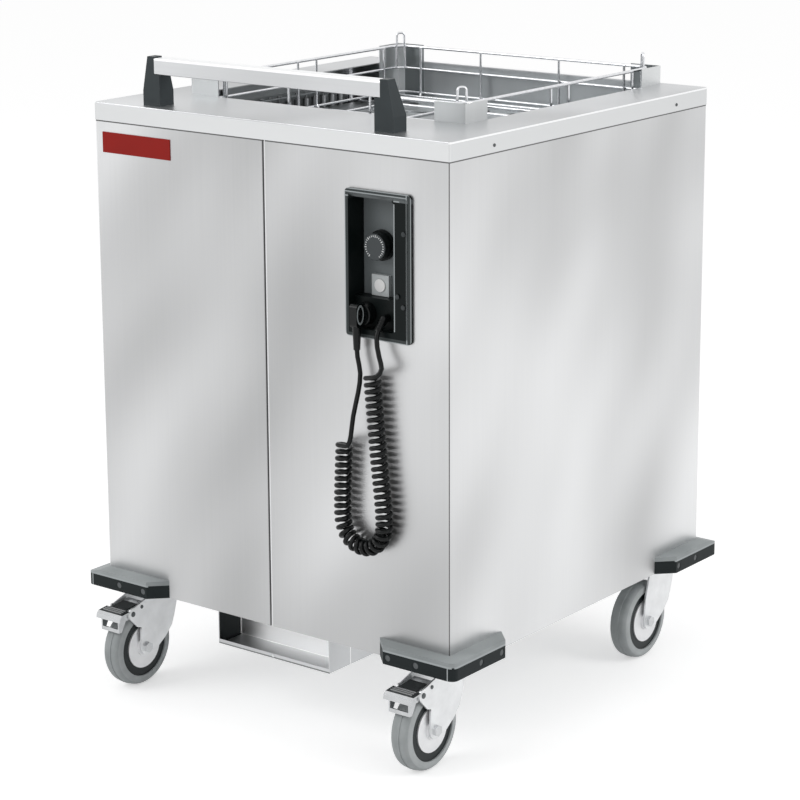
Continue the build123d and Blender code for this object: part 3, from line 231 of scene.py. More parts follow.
def shade(color, factor):
    """A colour made lighter or darker."""
    return tuple(min(1.0, value * factor) for value in color)


# %% [markdown]
# ## Stainless sheet
# Satin stainless has a fine grain that runs one way, and over it broad soft bands of
# painted sheen, lighter and darker, that stand in for the studio's reflections. The grain
# is noise stretched along its run, and it moves colour, roughness and a very low bump. The
# painted sheen bands are wide noise, stretched along a slant that leans to the right on
# the front and to the back on the sides. Noise keeps close to its middle, so the bands
# are spread before they mix the tone.

# %% Satin stainless
upright_grain = (1.0, 1.0, 0.01)
level_grain = (0.01, 1.0, 1.0)
# The painted sheen bands: their slant, stretch, scale and spread.
sheen_slant = (math.radians(25), math.radians(-29), 0.0)
sheen_stretch = (1.0, 1.0, 0.22)
grain_scale, sheen_scale = 300.0, 4.2
grain_share, sheen_spread, middle_tone = 0.12, 6.0, 0.44


def stainless(name, color, roughness, grain, sheen_depth):
    """A satin stainless finish with painted sheen bands, its tone left open for lines on top."""
    finish = Finish(name, color, roughness, metallic=1.0)
    lines = finish.noise(grain_scale, grain, 3.0)
    # Painted sheen: wide slanted bands of lighter and darker colour, from noise.
    sheen_bands = finish.noise(sheen_scale, sheen_stretch, 1.0, sheen_slant)
    tone = (sheen_bands - 0.5) * (sheen_depth * sheen_spread) + lines * grain_share + middle_tone
    finish.tone = finish.mix(tone, shade(color, 0.7), shade(color, 1.2))
    finish.set("Base Color", finish.tone)
    finish.set("Roughness", lines * 0.1 + (roughness - 0.05))
    finish.bump(lines, 0.00002, 0.2)
    return finish


print("grain at", grain_scale, "bands at", sheen_scale)

# %% [markdown]
# Painted shade draws the gap under the worktop, the front right-hand corner and the seam
# between the two front sheets as thin dark lines, and beside the seam a painted highlight
# stands for a fold that catches the light. They follow the sheet's real edges, so they are
# masks on X and Z, in metres from the frame's own levels. The front looks away from the
# bright side of the room, so its sheet is painted darker than the sides as painted shade,
# and the painted shade deepens towards its low right-hand corner.

# %% Panels with painted shade lines and a painted highlight
# Widths and places of the painted shade lines, the painted highlight and the painted shade's falloff.
gap_width, corner_width = 0.0022, 0.0016
seam_shade_x, seam_shade_reach = seam_left - 0.0006, 0.0011
seam_highlight_x, seam_highlight_reach = seam_right + 0.0016, 0.0007
falloff_level, falloff_slope = 0.35, 1.2


def folded_panel(name, color, sheen_depth, shade_falloff):
    """Panel sheet with painted shade lines and a painted highlight, and painted shade towards the low
    right-hand corner.
    """
    finish = stainless(name, color, 0.36, upright_grain, sheen_depth)
    x, y, z = finish.axes()
    on_front = y < front_face + 0.0005
    # Painted shade lines: under the worktop's flange, at the front corner and in the seam.
    gap_shadow_line = z > flange_bottom - gap_width
    corner_shade_line = (x > side_face - corner_width) & on_front
    seam_shade_line = x.near(seam_shade_x, seam_shade_reach) & on_front
    # Painted highlight beside the seam.
    seam_highlight = x.near(seam_highlight_x, seam_highlight_reach) & on_front
    # Painted shade, deeper towards the low right-hand corner.
    corner_falloff_shade = (x - seam_right) * falloff_slope - (z - falloff_level) * falloff_slope
    corner_falloff_shade = corner_falloff_shade.math("MAXIMUM", 0.0) * shade_falloff
    toned = finish.mix(corner_falloff_shade, finish.tone, shade(color, 0.6))
    shade_lined = finish.mix(gap_shadow_line | corner_shade_line | seam_shade_line, toned, shade(color, 0.22))
    finish.set("Base Color", finish.mix(seam_highlight, shade_lined, shade(color, 1.2)))
    return finish


# The front sheet is painted darker than the side sheets: painted shade.
shaded_front_steel = folded_panel("Satin_stainless_front", (0.57, 0.575, 0.58), 0.36, 0.6)
shaded_front_steel.on("front_panel_left", "front_panel_right")
side_steel = folded_panel("Satin_stainless_side", (0.65, 0.655, 0.66), 0.3, 0.0)
side_steel.on("rear_panel", "side_panel_left", "side_panel_right")
print("lines under the worktop, at the corner and beside the seam")

# %% [markdown]
# ## Worktop, well and guides
# The worktop's folded flanges are painted a little brighter than its top, as painted
# light, and the fold itself gets a painted highlight. The corner guides keep their bright
# steel outside; painted shade makes them duller on the faces that look to the front, and
# dark inside, where they face one another across the well.

# %% Worktop, with painted light on its flanges and a painted highlight on its fold
worktop_color = (0.6, 0.61, 0.62)
fold_width = 0.0026
top_steel = stainless("Satin_stainless_worktop", worktop_color, 0.34, level_grain, 0.3)
top_x, top_y, top_z = top_steel.axes()
folded = top_z < worktop_high[2] - 0.002
# Painted light: the folded flanges a little brighter than the top.
lit_flange_tone = top_steel.mix(folded, top_steel.tone, (0.67, 0.68, 0.685))
near_edge = (abs(top_x) > worktop_high[0] - fold_width) | (abs(top_y) > worktop_high[1] - fold_width)
# Painted highlight along the fold.
fold_highlight = near_edge & top_z.between(worktop_high[2] - 0.0028, worktop_high[2] - 0.0004)
top_steel.set("Base Color", top_steel.mix(fold_highlight, lit_flange_tone, (0.93, 0.935, 0.94)))
top_steel.on("worktop")
print("worktop from", round(worktop_low[2], 3), "to", round(worktop_high[2], 3))

# %% Sheet inside the well and under the cabinet
inner_steel = stainless("Stainless_inner_sheet", (0.42, 0.44, 0.45), 0.4, upright_grain, 0.3)
inner_steel.on("well_walls", "well_floor", "platform_tray", "carriage_frame", "spring_rails", "base_pan")
guide_steel = stainless("Stainless_guide", (0.74, 0.755, 0.76), 0.36, upright_grain, 0.3)
guide_low, guide_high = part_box("corner_guides")
guide_x, guide_y = guide_steel.axes()[:2]
guide_middle = (guide_low[1] + guide_high[1]) / 2
guide_reach = (guide_high[1] - guide_low[1]) / 2
guide_skin = 0.0008
guide_side = abs(guide_x) > guide_high[0] - guide_skin
guide_end = abs(guide_y - guide_middle) > guide_reach - guide_skin
# Painted shade: the inside faces dark, the outside faces keep the steel's tone.
guide_shaded_tone = guide_steel.mix(guide_side | guide_end, (0.24, 0.26, 0.265), guide_steel.tone)
front_turned = guide_y < guide_low[1] + guide_skin
# Painted shade: the faces that look to the front duller.
guide_steel.set("Base Color", guide_steel.mix(front_turned, guide_shaded_tone, (0.5, 0.515, 0.52)))
guide_steel.on("corner_guides")
print("worktop, well and guides dressed")

# %% [markdown]
# ## Air box
# The box under the cabinet is bare sheet. Its inner plate faces the light and is painted
# white, a painted highlight, much brighter than the walls of its mouth, which are in their
# own shade and painted nearly black as painted shade. Both are picked out by their
# distance behind the front edge.

# %% Air box
air_low, air_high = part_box("air_box")
box_steel = stainless("Air_box_sheet", (0.62, 0.63, 0.64), 0.4, level_grain, 0.3)
box_x, box_y, box_z = box_steel.axes()
front_edge = air_low[1] + 0.0006
plate_y = air_low[1] + 0.050
inner_plate = box_y.between(plate_y - 0.001, plate_y + 0.0004)
edge_line = (box_y < front_edge) & (box_z < air_low[2] + 0.0022)
# Painted highlight: the inner plate white.
box_tone = box_steel.mix(inner_plate, box_steel.tone, (1.0, 1.0, 1.0))
mouth_wall = abs(box_x).between(air_high[0] - 0.004, air_high[0] - 0.0006)
in_mouth = box_y.between(front_edge, plate_y - 0.001)
# Painted shade: the walls of the mouth nearly black.
box_tone = box_steel.mix(mouth_wall & in_mouth, box_tone, (0.03, 0.034, 0.035))
box_steel.set("Base Color", box_steel.mix(edge_line, box_tone, (0.2, 0.21, 0.21)))
box_steel.on("air_box")
print("air box", [round(value, 3) for value in (*air_low, *air_high)])

# %% [markdown]
# ## Wire, rods and fasteners
# The basket wire is electropolished, so it is bright and almost smooth. Zinc plate has a
# cloudy, slightly spotted look, which is fine noise between two greys. The lift springs
# are close-wound wire: a sine of height raises the turns, and paints the grooves between
# them darker as painted shade.

# %% Bright metals


def plated(name, color, roughness, spots, metallic=1.0):
    """Plated metal with cloudy spots."""
    finish = Finish(name, color, roughness, metallic=metallic)
    cloudy = finish.noise(spots, (1, 1, 1), 3.0)
    finish.set("Base Color", finish.mix(cloudy, shade(color, 0.82), shade(color, 1.16)))
    finish.set("Roughness", cloudy * 0.12 + (roughness - 0.06))
    finish.bump(cloudy, 0.00002, 0.2)
    return finish


wire_finish = plated("Electropolished_wire", (0.78, 0.79, 0.81), 0.24, 120.0)
wire_finish.on("wire_basket")
plated("Ground_rod", (0.72, 0.72, 0.74), 0.2, 160.0).on("guide_rods")
plated("Galvanised_fan", (0.6, 0.61, 0.62), 0.4, 90.0).on("fan_impeller")
plated("Heater_tube", (0.33, 0.31, 0.28), 0.45, 70.0).on("heating_element")
bright_screw = plated("Bright_screw", (0.6, 0.61, 0.62), 0.3, 300.0)
bright_screw.on("handle_screws", "castor_bolts", *(f"castor_axle_{corner}" for corner in corners))
# The bumper screws sit deep in their holes, so this finish is painted dark as painted shade; the rivets
# and pedal pins share it.
dark_screw = plated("Shaded_screw", (0.1, 0.107, 0.11), 0.3, 300.0)
dark_screw.on("bumper_screws")
plated("Black_screw", (0.05, 0.055, 0.057), 0.35, 300.0).on("panel_screws")
zinc_finish = plated("Zinc_plate", (0.8, 0.81, 0.82), 0.34, 45.0, metallic=0.75)
zinc_finish.on("castor_plates", *(f"castor_fork_{corner}" for corner in corners))
pedal_finish = plated("Bright_pedal", (0.52, 0.53, 0.54), 0.26, 60.0)
pedal_finish.on(*(f"brake_pedal_{corner}" for corner in braked_corners))
print("metals dressed")

# %% Close-wound lift springs
wire_pitch = 0.0016
spring_finish = Finish("Spring_wire", (0.3, 0.31, 0.32), 0.4, metallic=0.9)
spring_z = spring_finish.axes()[2]
winding = (spring_z * (2 * math.pi / wire_pitch)).math("SINE") * 0.5 + 0.5
# Painted shade: the grooves between the turns darker than their crowns.
spring_finish.set("Base Color", spring_finish.mix(winding, (0.12, 0.125, 0.13), (0.4, 0.41, 0.42)))
spring_finish.bump(winding, 0.0003, 0.5)
spring_finish.on("lift_springs")
print("spring turns", round(1 / wire_pitch), "a metre")

# %% Handle bar
bar_color = (0.62, 0.63, 0.64)
bar_low, bar_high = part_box("handle_bar")
bar_finish = stainless("Satin_handle_bar", bar_color, 0.36, level_grain, 0.1)
# Painted highlight along the bar's top edge.
bar_top_highlight = bar_finish.axes()[2] > bar_high[2] - 0.0035
bar_finish.set("Base Color", bar_finish.mix(bar_top_highlight, bar_finish.tone, (0.9, 0.905, 0.91)))
bar_finish.on("handle_bar")
print("bar", [round(value, 3) for value in (*bar_low, *bar_high)])

# %% [markdown]
# ## Moulded plastics
# The bumpers and handle brackets are one dark blue-grey plastic with a fine spark grain.
# Handling rubs it paler in patches. The grain is fine noise in the bump, and the rubbed
# patches are wide noise in the colour. On the bumpers the sloping tops are painted much
# paler as painted light, in worn patches, and the ridge and the corners' turns carry a
# painted highlight.

# %% A moulded plastic


def moulding(name, color, roughness, paler=1.7, specular=0.3):
    """A plastic with spark grain and rubbed patches."""
    finish = Finish(name, color, roughness, specular=specular)
    grain = finish.noise(1100.0, (1, 1, 1), 2.0)
    patches = finish.noise(22.0, (1, 1, 1), 3.0)
    finish.tone = finish.mix(patches * 0.6 + grain * 0.3, shade(color, 0.8), shade(color, paler))
    finish.set("Base Color", finish.tone)
    finish.set("Roughness", patches * 0.14 + (roughness - 0.07))
    finish.bump(grain, 0.00008, 0.4)
    return finish


bumper_color = (0.013, 0.017, 0.018)
bumper_low, bumper_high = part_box("corner_bumpers")
bumper_finish = moulding("Blue_grey_bumper", bumper_color, 0.45, specular=0.12)
bumper_x, bumper_y, bumper_z = bumper_finish.axes()
outer_height = 0.175
corner_radius = 0.011
bumper_skin = 0.002
ridge = bumper_z.near(outer_height, 0.0014)
on_end = (bumper_y < bumper_low[1] + bumper_skin) | (bumper_y > bumper_high[1] - bumper_skin)
outer_face = on_end | (abs(bumper_x) > bumper_high[0] - bumper_skin)
turn_line = abs(bumper_x).near(bumper_high[0] - corner_radius, 0.0009)
# Painted highlight: the ridge and where the rounded corners turn on the ends.
bumper_highlight = (ridge & outer_face) | (turn_line & on_end & (bumper_z < outer_height))
top_slope = bumper_z > outer_height + 0.0003
# Painted light: the sloping tops much paler than the dark faces, in worn patches.
worn = bumper_finish.noise(9.0, (1, 1, 1), 2.0)
lit_slope_tone = bumper_finish.mix(worn, (0.15, 0.17, 0.175), (0.52, 0.55, 0.555))
lit_slopes = bumper_finish.mix(top_slope, bumper_finish.tone, lit_slope_tone)
bumper_finish.set("Base Color", bumper_finish.mix(bumper_highlight, lit_slopes, (0.42, 0.45, 0.46)))
bumper_finish.on("corner_bumpers")
bracket_finish = moulding("Blue_grey_bracket", (0.03, 0.037, 0.04), 0.42, specular=0.2)
bracket_finish.on("handle_brackets")
print("bumper box", [round(value, 3) for value in (*bumper_low, *bumper_high)])

# %% [markdown]
# ## Control recess
# The housing is one black moulding. Its rim, groove and edges carry painted highlights,
# and its sloping bezel is painted paler, with streaks, as painted sheen. The plate at the
# back is dark grey, with a knob over a switch. The painted highlights are narrow masks
# along the housing's own outline.

# %% Control housing
housing_low, housing_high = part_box("control_housing")
plate_low, plate_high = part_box("control_plate")
housing_finish = moulding("Black_housing", (0.005, 0.0075, 0.0075), 0.3, paler=1.6, specular=0.1)
house_x, house_y, house_z = housing_finish.axes()
middle_x, middle_z = (housing_low[0] + housing_high[0]) / 2, (housing_low[2] + housing_high[2]) / 2
half_x, half_z = (housing_high[0] - housing_low[0]) / 2, (housing_high[2] - housing_low[2]) / 2
rim_width, ring_width, edge_reach = 0.0012, 0.0055, 0.0009
groove_x = housing_high[0] - 0.0078
recess_top = housing_high[2] - 0.012


def outline(width):
    """A mask of the housing's outline, a number of metres wide."""
    beside = abs(house_x - middle_x) > half_x - width
    above_or_below = abs(house_z - middle_z) > half_z - width
    return beside | above_or_below


proud_face = house_y < housing_low[1] + 0.0006
beside_recess = house_z.between(plate_low[2] + 0.003, plate_high[2] - 0.003)
recess_edge = house_x.near(plate_high[0] + 0.0008, edge_reach) & beside_recess
groove_edge = house_x.near(groove_x, edge_reach)
left_of_band = house_x < plate_high[0] + 0.010
top_edge = house_z.near(recess_top + 0.0010, edge_reach) & left_of_band
upper_line = house_z.near(housing_high[2] - 0.0050, 0.0008) & (house_x < groove_x)
# Painted highlights along the rim, the recess's edges, the groove and an upper line.
edge_highlights = (outline(rim_width) | recess_edge | groove_edge | top_edge | upper_line) & proud_face
bezel = house_z.between(recess_top, housing_high[2] - ring_width)
ring = outline(ring_width) & proud_face
# Painted sheen on the bezel: paler, with streaks.
streaks = housing_finish.noise(160.0, (0.25, 1.0, 2.0), 3.0)
bezel_sheen = housing_finish.mix(streaks, (0.03, 0.036, 0.037), (0.2, 0.22, 0.225))
housing_tone = housing_finish.mix(bezel, housing_finish.tone, bezel_sheen)
housing_tone = housing_finish.mix(ring, housing_tone, (0.055, 0.063, 0.064))
housing_finish.set("Base Color", housing_finish.mix(edge_highlights, housing_tone, (0.38, 0.41, 0.42)))
housing_finish.on("control_housing")
print("housing", [round(value, 3) for value in (*housing_low, *housing_high)])

# %% Plate, knob, switch and block
plate_finish = moulding("Grey_control_plate", (0.17, 0.19, 0.196), 0.45, paler=1.25)
plate_finish.on("control_plate")
knob_finish = moulding("Black_knob", (0.007, 0.009, 0.0095), 0.32, paler=1.5, specular=0.12)
knob_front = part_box("thermostat_knob")[0][1]
knob_face = knob_finish.axes()[1] < knob_front + 0.0006
knob_finish.set("Base Color", knob_finish.mix(knob_face, knob_finish.tone, (0.075, 0.083, 0.087)))
knob_finish.on("thermostat_knob")
moulding("Black_block", (0.005, 0.007, 0.007), 0.35, specular=0.1).on("outlet_block", "thermostat_body")
moulding("Pale_switch_frame", (0.5, 0.53, 0.535), 0.4, paler=1.4).on("switch_body")
moulding("White_button", (0.93, 0.93, 0.92), 0.3, paler=1.1).on("switch_button")
moulding("Natural_nylon", (0.8, 0.8, 0.76), 0.5, paler=1.1).on("guide_bushes")
moulding("Black_enamel", (0.03, 0.03, 0.032), 0.35).on("fan_motor")
red_finish = moulding("Plain_red_plate", (0.3, 0.011, 0.007), 0.4, paler=1.15, specular=0.15)
red_finish.on("badge_plate")
sheath = moulding("Cable_sheath", (0.003, 0.004, 0.0042), 0.24, paler=1.5, specular=0.22)
sheath.on("cord_boot", "plug")
print("control pieces dressed")

# %% [markdown]
# ## Wheels
# Each wheel is a grey non-marking tyre on a dark rim, with a bright pressed disc. All
# of it turns round the axle, so the colours and the disc's pressed ring follow the
# distance from the axle. Noise adds the dust on the tyre.

# %% Tyres and wheel cores
disc_radius = 0.0345
press_radius = 0.029
side_wall_radius = 0.0575


def from_axle(finish, name):
    """The distance of a point from a wheel's axle."""
    low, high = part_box(name)
    y, z = finish.axes()[1:]
    along = (y - (low[1] + high[1]) / 2).math("POWER", 2.0)
    up = (z - (low[2] + high[2]) / 2).math("POWER", 2.0)
    return (along + up).math("SQRT")


for corner in corners:
    core = Finish(f"Wheel_core_{corner}", (0.7, 0.71, 0.72), 0.34, specular=0.25)
    radius = from_axle(core, f"castor_wheel_{corner}")
    disc = radius < disc_radius
    cloudy = core.noise(60.0, (1, 1, 1), 3.0)
    bright = core.mix(cloudy, (0.74, 0.75, 0.76), (0.9, 0.9, 0.91))
    core.set("Base Color", core.mix(disc, (0.014, 0.019, 0.02), bright))
    core.set("Metallic", disc * 0.6)
    core.bump(radius.near(press_radius, 0.0012), 0.0006, 0.6)
    core.on(f"castor_wheel_{corner}")
    tyre = Finish(f"Grey_tyre_{corner}", (0.2, 0.21, 0.22), 0.55, specular=0.35)
    radius = from_axle(tyre, f"castor_tyre_{corner}")
    dust = tyre.noise(45.0, (1, 1, 1), 3.0)
    # Dust from noise, and the side wall, inside the tread, lighter.
    dust_and_side_wall = dust * 0.6 + (radius < side_wall_radius) * 0.25
    tyre.set("Base Color", tyre.mix(dust_and_side_wall, (0.25, 0.272, 0.276), (0.58, 0.605, 0.61)))
    tyre.bump(dust, 0.0002, 0.3)
    tyre.on(f"castor_tyre_{corner}")
print("wheels dressed", len(corners))

# %% [markdown]
# ## The curly lead
# One black lead leaves the boot in the recess, is wound into a close helix that hangs
# down the panel, turns, and comes up again to the parked plug. A helix needs a line to
# go round, so the route is drawn first as a smooth curve through a few chosen points,
# and the turns are worked out along it. The whole lead is then one curve, so that it is
# one unbroken tube.

# %% Route of the coil
cord_diameter = 0.007
coil_radius = 0.0095
coil_turns = 44
coil_plane = front_face - 0.016
coil_route = [
    (0.2070, coil_plane, 0.5720),
    (0.2165, coil_plane, 0.4650),
    (0.2265, coil_plane, 0.3850),
    (0.2275, coil_plane, 0.3420),
    (0.2060, coil_plane, 0.3195),
    (0.1750, coil_plane, 0.3190),
    (0.1525, coil_plane, 0.3400),
    (0.1515, coil_plane, 0.3900),
    (0.1560, coil_plane, 0.4660),
]


def smooth_curve(name, points):
    """A curve object of one NURBS spline with the given control points."""
    curve = bpy.data.curves.new(name, "CURVE")
    curve.dimensions = "3D"
    spline = curve.splines.new("NURBS")
    spline.points.add(len(points) - 1)
    for point, place in zip(spline.points, points):
        point.co = (*place, 1.0)
    spline.order_u = 3
    spline.use_endpoint_u = True
    piece = bpy.data.objects.new(name, curve)
    bpy.context.scene.collection.objects.link(piece)
    return piece


route_piece = smooth_curve("coil_route", coil_route)
route_piece.data.resolution_u = 24
route_mesh = bpy.data.meshes.new_from_object(route_piece)
route_line = [vertex.co.copy() for vertex in route_mesh.vertices]
bpy.data.objects.remove(route_piece)
bpy.data.meshes.remove(route_mesh)
route_length = sum((b - a).length for a, b in zip(route_line, route_line[1:]))
print("coil route", round(route_length, 3), "m in", len(route_line), "points")

# %% Turns of the coil
points_per_turn = 16


def walk(line, steps):
    """Evenly spaced places along a line, each with its direction."""
    reach = [0.0]
    for a, b in zip(line, line[1:]):
        reach.append(reach[-1] + (b - a).length)
    i = 0
    for step in range(steps + 1):
        target = reach[-1] * step / steps
        while i < len(line) - 2 and reach[i + 1] < target:
            i += 1
        share = (target - reach[i]) / (reach[i + 1] - reach[i])
        yield line[i].lerp(line[i + 1], share), (line[i + 1] - line[i]).normalized()


outward = Vector((0, -1, 0))
helix = []
for step, (place, way) in enumerate(walk(route_line, coil_turns * points_per_turn)):
    angle = 2 * math.pi * step / points_per_turn
    helix.append(place + (outward * math.cos(angle) + way.cross(outward) * math.sin(angle)) * coil_radius)
print("helix", round(sum((b - a).length for a, b in zip(helix, helix[1:])), 3), "m")

# %% The lead from the boot to the plug
boot_angle = math.radians(48)
boot_way = Vector((0, -math.cos(boot_angle), -math.sin(boot_angle)))
boot_end = Vector((0.214, front_face + 0.0025, 0.652)) + boot_way * 0.020
plug_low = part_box("plug")[0]
plug_x, plug_y = 0.178, front_face - 0.0130
plug_exit = Vector((plug_x, plug_y, plug_low[2]))
coil_start_way = (helix[0] - helix[1]).normalized()
coil_end_way = (helix[-1] - helix[-2]).normalized()
lead_points = [
    boot_end,
    boot_end + boot_way * 0.0084,
    Vector((0.2210, front_face - 0.0180, 0.6020)),
    Vector((0.2300, front_face - 0.0210, 0.5870)),
    helix[0] + coil_start_way * 0.021,
    helix[0] + coil_start_way * 0.007,
    *helix,
    helix[-1] + coil_end_way * 0.007,
    helix[-1] + coil_end_way * 0.018,
    Vector((0.1750, front_face - 0.0245, 0.4810)),
    Vector((0.1750, front_face - 0.0200, 0.5100)),
    Vector((0.1830, front_face - 0.0170, 0.5450)),
    Vector((0.1860, front_face - 0.0140, 0.5740)),
    plug_exit + Vector((0, 0, -0.0098)),
    plug_exit,
]
lead = smooth_curve("curly_lead", lead_points)
lead.data.resolution_u = 2
lead.data.bevel_depth = cord_diameter / 2
lead.data.bevel_resolution = 3
lead.data.materials.append(sheath.material)
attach(lead, "cabinet")
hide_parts("cord_lead_out", "cord_coil", "cord_lead_plug")
print("lead control points", len(lead_points))

# %% [markdown]
# ## Small trim by hand
# The CAD model leaves out rivets, pedal treads, dial marks and the rims of the plug's
# grip. Each starts as a primitive at its place, and ends with its place in its own mesh,
# so that patterns and the export see it where it is. All but the rims are shaped in edit
# mode, with their faces picked by their normal.

# %% Helpers for pieces made by hand


def pick_faces(piece, wanted):
    """Go into edit mode with the faces selected whose centre and normal pass a test."""
    bpy.ops.object.mode_set(mode="EDIT")
    bpy.ops.mesh.select_mode(type="FACE")
    bpy.ops.mesh.select_all(action="DESELECT")
    bpy.ops.object.mode_set(mode="OBJECT")
    for face in piece.data.polygons:
        face.select = wanted(face.center, face.normal)
    bpy.ops.object.mode_set(mode="EDIT")


def settle(name, finish, body):
    """End a piece: place in the mesh, soft shading, finish and body."""
    bpy.ops.object.mode_set(mode="OBJECT")
    bpy.ops.object.transform_apply(location=True, rotation=True, scale=True)
    bpy.ops.object.shade_smooth_by_angle(angle=math.radians(35))
    piece = bpy.context.object
    piece.name = name
    piece.data.materials.append(finish.material)
    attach(piece, body)
    return piece


def domed_head(name, place, way, size, finish, body):
    """A rivet head: a short cylinder whose outer rim is rounded over."""
    radius, height = size
    way = Vector(way)
    bpy.ops.object.select_all(action="DESELECT")
    turn = way.to_track_quat("Z", "Y").to_euler()
    middle = Vector(place) + way * height / 2
    shape = {"vertices": 20, "radius": radius, "depth": height}
    bpy.ops.mesh.primitive_cylinder_add(location=middle, rotation=turn, **shape)
    piece = bpy.context.object
    pick_faces(piece, lambda centre, normal: normal.z > 0.9)
    bpy.ops.mesh.bevel(offset=height * 0.8, segments=3, affect="EDGES")
    settle(name, finish, body)


# %% Rivets on the worktop's side flanges and the air box
rivet_height = (flange_bottom + worktop_high[2]) / 2 - 0.0035
flange_rivet_places = {"front": -0.2148, "rear": 0.2606}
flange_rivet_size, box_rivet_size = (0.0026, 0.0010), (0.0024, 0.0012)
rivet_count = 0
for side, outer_x in (("left", worktop_low[0]), ("right", worktop_high[0])):
    for end, rivet_y in flange_rivet_places.items():
        way = (math.copysign(1, outer_x), 0, 0)
        name = f"flange_rivet_{side}_{end}"
        place = (outer_x, rivet_y, rivet_height)
        domed_head(name, place, way, flange_rivet_size, dark_screw, "cabinet")
        rivet_count += 1
lip_middle = (0, air_low[1], air_low[2] + 0.0035)
domed_head("air_box_rivet", lip_middle, (0, -1, 0), box_rivet_size, bright_screw, "cabinet")
print("rivets", rivet_count + 1)

# %% Rivets and pedal pins on the braked forks
fork_outer = 0.022
rivet_reach, rivet_level = 0.0550, 0.1310
pin_reach, pin_level = 0.0745, 0.1240
fork_rivet_size, pin_size = (0.0030, 0.0012), (0.0042, 0.0014)
core_radius, trail = 0.0475, 0.045


def swivel(corner):
    """X and Y of a castor's swivel axis, from its fork and its wheel."""
    fork_low, fork_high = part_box(f"castor_fork_{corner}")
    return (fork_low[0] + fork_high[0]) / 2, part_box(f"castor_wheel_{corner}")[0][1] + core_radius + trail


for corner in braked_corners:
    swivel_x, swivel_y = swivel(corner)
    for side, sign in (("left", -1), ("right", 1)):
        outer_x = swivel_x + sign * fork_outer
        way = (sign, 0, 0)
        place = (outer_x, swivel_y - rivet_reach, rivet_level)
        name = f"fork_rivet_{corner}_{side}"
        domed_head(name, place, way, fork_rivet_size, dark_screw, f"fork_{corner}")
        place = (outer_x, swivel_y - pin_reach, pin_level)
        name = f"pedal_pin_{corner}_{side}"
        domed_head(name, place, way, pin_size, dark_screw, f"pedal_{corner}")
    print(corner, "swivel at", round(swivel_x, 3), round(swivel_y, 4))

# %% [markdown]
# ## Brake pedals
# Each pedal has a dark rubber tread on its sloping plate, and on its wider tip a dark
# pad with three bright ribs across it. All are bevelled slabs, turned to the plate's
# slope.

# %% Treads, pads and ribs on the pedals
pedal_top, pedal_start, pedal_fall = 0.1355, 0.044, 0.1
tread_reach, pad_reach = 0.0705, 0.0935
rib_reaches = (0.0885, 0.0932, 0.0979)
tread_size, pad_size, rib_size = (0.030, 0.026, 0.0010), (0.045, 0.016, 0.0010), (0.038, 0.0018, 0.0020)
pedal_rubber = moulding("Pedal_rubber", (0.02, 0.023, 0.024), 0.5)


def pedal_level(reach):
    """The height of the pedal's top at a reach in front of the swivel."""
    return pedal_top - (reach - pedal_start) * pedal_fall


def pedal_bar(name, corner, reach, size, finish):
    """A bevelled bar that lies on the pedal's sloping top."""
    swivel_x, swivel_y = swivel(corner)
    height = size[2]
    middle = (swivel_x, swivel_y - reach, pedal_level(reach) + height / 2)
    turn = (math.atan(pedal_fall), 0, 0)
    bpy.ops.object.select_all(action="DESELECT")
    bpy.ops.mesh.primitive_cube_add(size=1.0, location=middle, rotation=turn, scale=size)
    piece = bpy.context.object
    bpy.ops.object.transform_apply(location=False, rotation=False, scale=True)
    pick_faces(piece, lambda centre, normal: normal.z > 0.9)
    bpy.ops.mesh.inset(thickness=height * 0.5)
    bpy.ops.mesh.bevel(offset=height * 0.25, segments=2, affect="EDGES")
    settle(name, finish, f"pedal_{corner}")


for corner in braked_corners:
    pedal_bar(f"pedal_tread_{corner}", corner, tread_reach, tread_size, pedal_rubber)
    pedal_bar(f"pedal_pad_{corner}", corner, pad_reach, pad_size, pedal_rubber)
    for number, reach in enumerate(rib_reaches):
        name = f"pedal_rib_{number}_{corner}"
        pedal_bar(name, corner, reach, rib_size, zinc_finish)
print("pedals dressed", len(braked_corners))

# %% [markdown]
# ## Dial marks
# Pale marks stand round the knob's face, every fourth one longer. Each is a thin slab
# set round the knob's axis, and all are joined into one piece that turns with the knob.

# %% Marks on the knob
knob_low, knob_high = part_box("thermostat_knob")
knob_axis = Vector(((knob_low[0] + knob_high[0]) / 2, knob_low[1], (knob_low[2] + knob_high[2]) / 2))
mark_radius, mark_count, mark_span = 0.0155, 24, 290
mark_width, mark_depth, long_mark, short_mark = 0.0012, 0.0004, 0.0036, 0.0022
mark_finish = moulding("Pale_dial_mark", (0.78, 0.8, 0.8), 0.4, paler=1.2)
marks = []
for i in range(mark_count):
    angle = math.radians(mark_span * (i / (mark_count - 1) - 0.5))
    middle = knob_axis + Vector((math.sin(angle), 0, math.cos(angle))) * mark_radius
    length = long_mark if i % 4 == 0 else short_mark
    bpy.ops.object.select_all(action="DESELECT")
    scale = (mark_width, mark_depth, length)
    bpy.ops.mesh.primitive_cube_add(size=1.0, location=middle, rotation=(0, angle, 0), scale=scale)
    mark = bpy.context.object
    bpy.ops.object.transform_apply(location=True, rotation=True, scale=True)
    pick_faces(mark, lambda centre, normal: normal.y < -0.9)
    bpy.ops.mesh.bevel(offset=0.0001, segments=1, affect="EDGES")
    bpy.ops.object.mode_set(mode="OBJECT")
    marks.append(mark)
for mark in marks:
    mark.select_set(True)
bpy.context.view_layer.objects.active = marks[0]
bpy.ops.object.join()
settle("knob_scale", mark_finish, "knob")
print("marks", mark_count)

# %% Rims of the plug's finger grip
grip_z, grip_half_width = 0.6565, 0.0065
rim_radius, rim_thickness, rim_stretch = 0.0066, 0.0009, 1.9
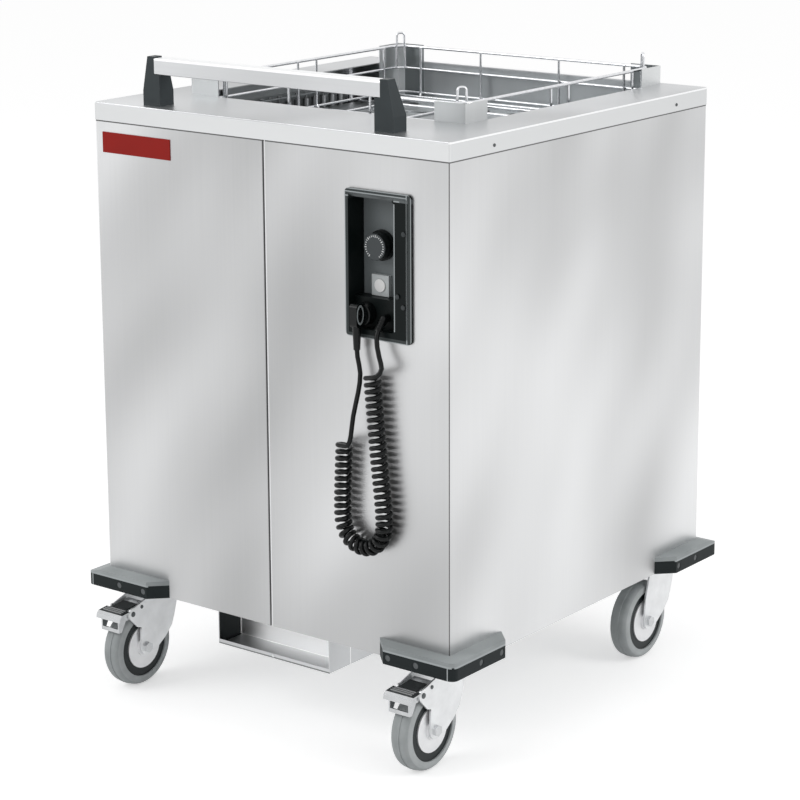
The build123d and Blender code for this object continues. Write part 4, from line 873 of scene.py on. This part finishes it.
# The rims are pale, a painted highlight along the grip's outline.
rim_highlight_finish = moulding("Plug_rim_highlight", (0.2, 0.22, 0.225), 0.3)
plug_rims = []
for side, sign in (("left", -1), ("right", 1)):
    bpy.ops.object.select_all(action="DESELECT")
    bpy.ops.mesh.primitive_torus_add(
        major_segments=40,
        minor_segments=8,
        major_radius=rim_radius,
        minor_radius=rim_thickness,
        location=(plug_x + sign * grip_half_width, plug_y, grip_z),
        rotation=(0, math.pi / 2, 0),
    )
    bpy.context.object.scale = (rim_stretch, 1.0, 1.0)
    plug_rims.append(settle(f"plug_grip_rim_{side}", rim_highlight_finish, "cabinet"))
print("rims", [round(value, 4) for value in plug_rims[0].dimensions])

# %% [markdown]
# ## Studio
# The part stands on a plain pale floor under soft even light. The floor and the world
# look white to the camera and in reflections, so that the metal mirrors a white studio,
# while the floor still takes the part's own soft shadow.

# %% Rays that should see a white studio


def white_rays(tree):
    """A mask that is 1 for rays from the camera, a mirror or glass."""
    paths = tree.nodes.new("ShaderNodeLightPath")
    names = ("Is Camera Ray", "Is Glossy Ray", "Is Transmission Ray")
    camera_ray, glossy_ray, clear_ray = (Socket(tree, paths.outputs[name]) for name in names)
    return camera_ray | glossy_ray | clear_ray


world = bpy.data.worlds.new("white_studio")
bpy.context.scene.world = world
world.use_nodes = True
background = world.node_tree.nodes["Background"]
background.inputs["Color"].default_value = (1.0, 1.0, 1.0, 1.0)
world_level = 0.62
strength = white_rays(world.node_tree) * (1.0 - world_level) + world_level
world.node_tree.links.new(strength.link, background.inputs["Strength"])
print("world level", world_level)

# %% Floor
floor_size, floor_glow = 80.0, 0.48
bpy.ops.object.select_all(action="DESELECT")
bpy.ops.mesh.primitive_plane_add(size=floor_size, location=(0, 0, 0))
floor = bpy.context.object
floor.name = "floor"
floor_finish = Finish("Pale_floor", (0.8, 0.8, 0.8), 0.9, specular=0.0)
glow = floor_finish.mix(white_rays(floor_finish.tree), (0.0, 0.0, 0.0), (floor_glow,) * 3)
floor_finish.set("Emission Color", glow)
floor_finish.set("Emission Strength", 1.0)
floor.data.materials.append(floor_finish.material)
print("floor", floor.dimensions[0], "m across")

# %% Soft lamps


def soft_lamp(name, place, target, size, watts):
    """A large rectangular lamp that faces a point."""
    bpy.ops.object.select_all(action="DESELECT")
    aim = Vector(target) - Vector(place)
    turn = aim.to_track_quat("-Z", "Y").to_euler()
    bpy.ops.object.light_add(type="AREA", location=place, rotation=turn)
    lamp = bpy.context.object
    lamp.name = name
    lamp.data.shape = "RECTANGLE"
    lamp.data.size, lamp.data.size_y = size
    lamp.data.energy = watts


cabinet_middle = (0, 0, 0.5)
soft_lamp("key_lamp", (-2.2, -3.2, 3.0), cabinet_middle, (2.4, 2.4), 55.0)
soft_lamp("side_lamp", (3.6, 0.8, 2.4), cabinet_middle, (2.0, 2.4), 40.0)
print("lamps at a plain level")
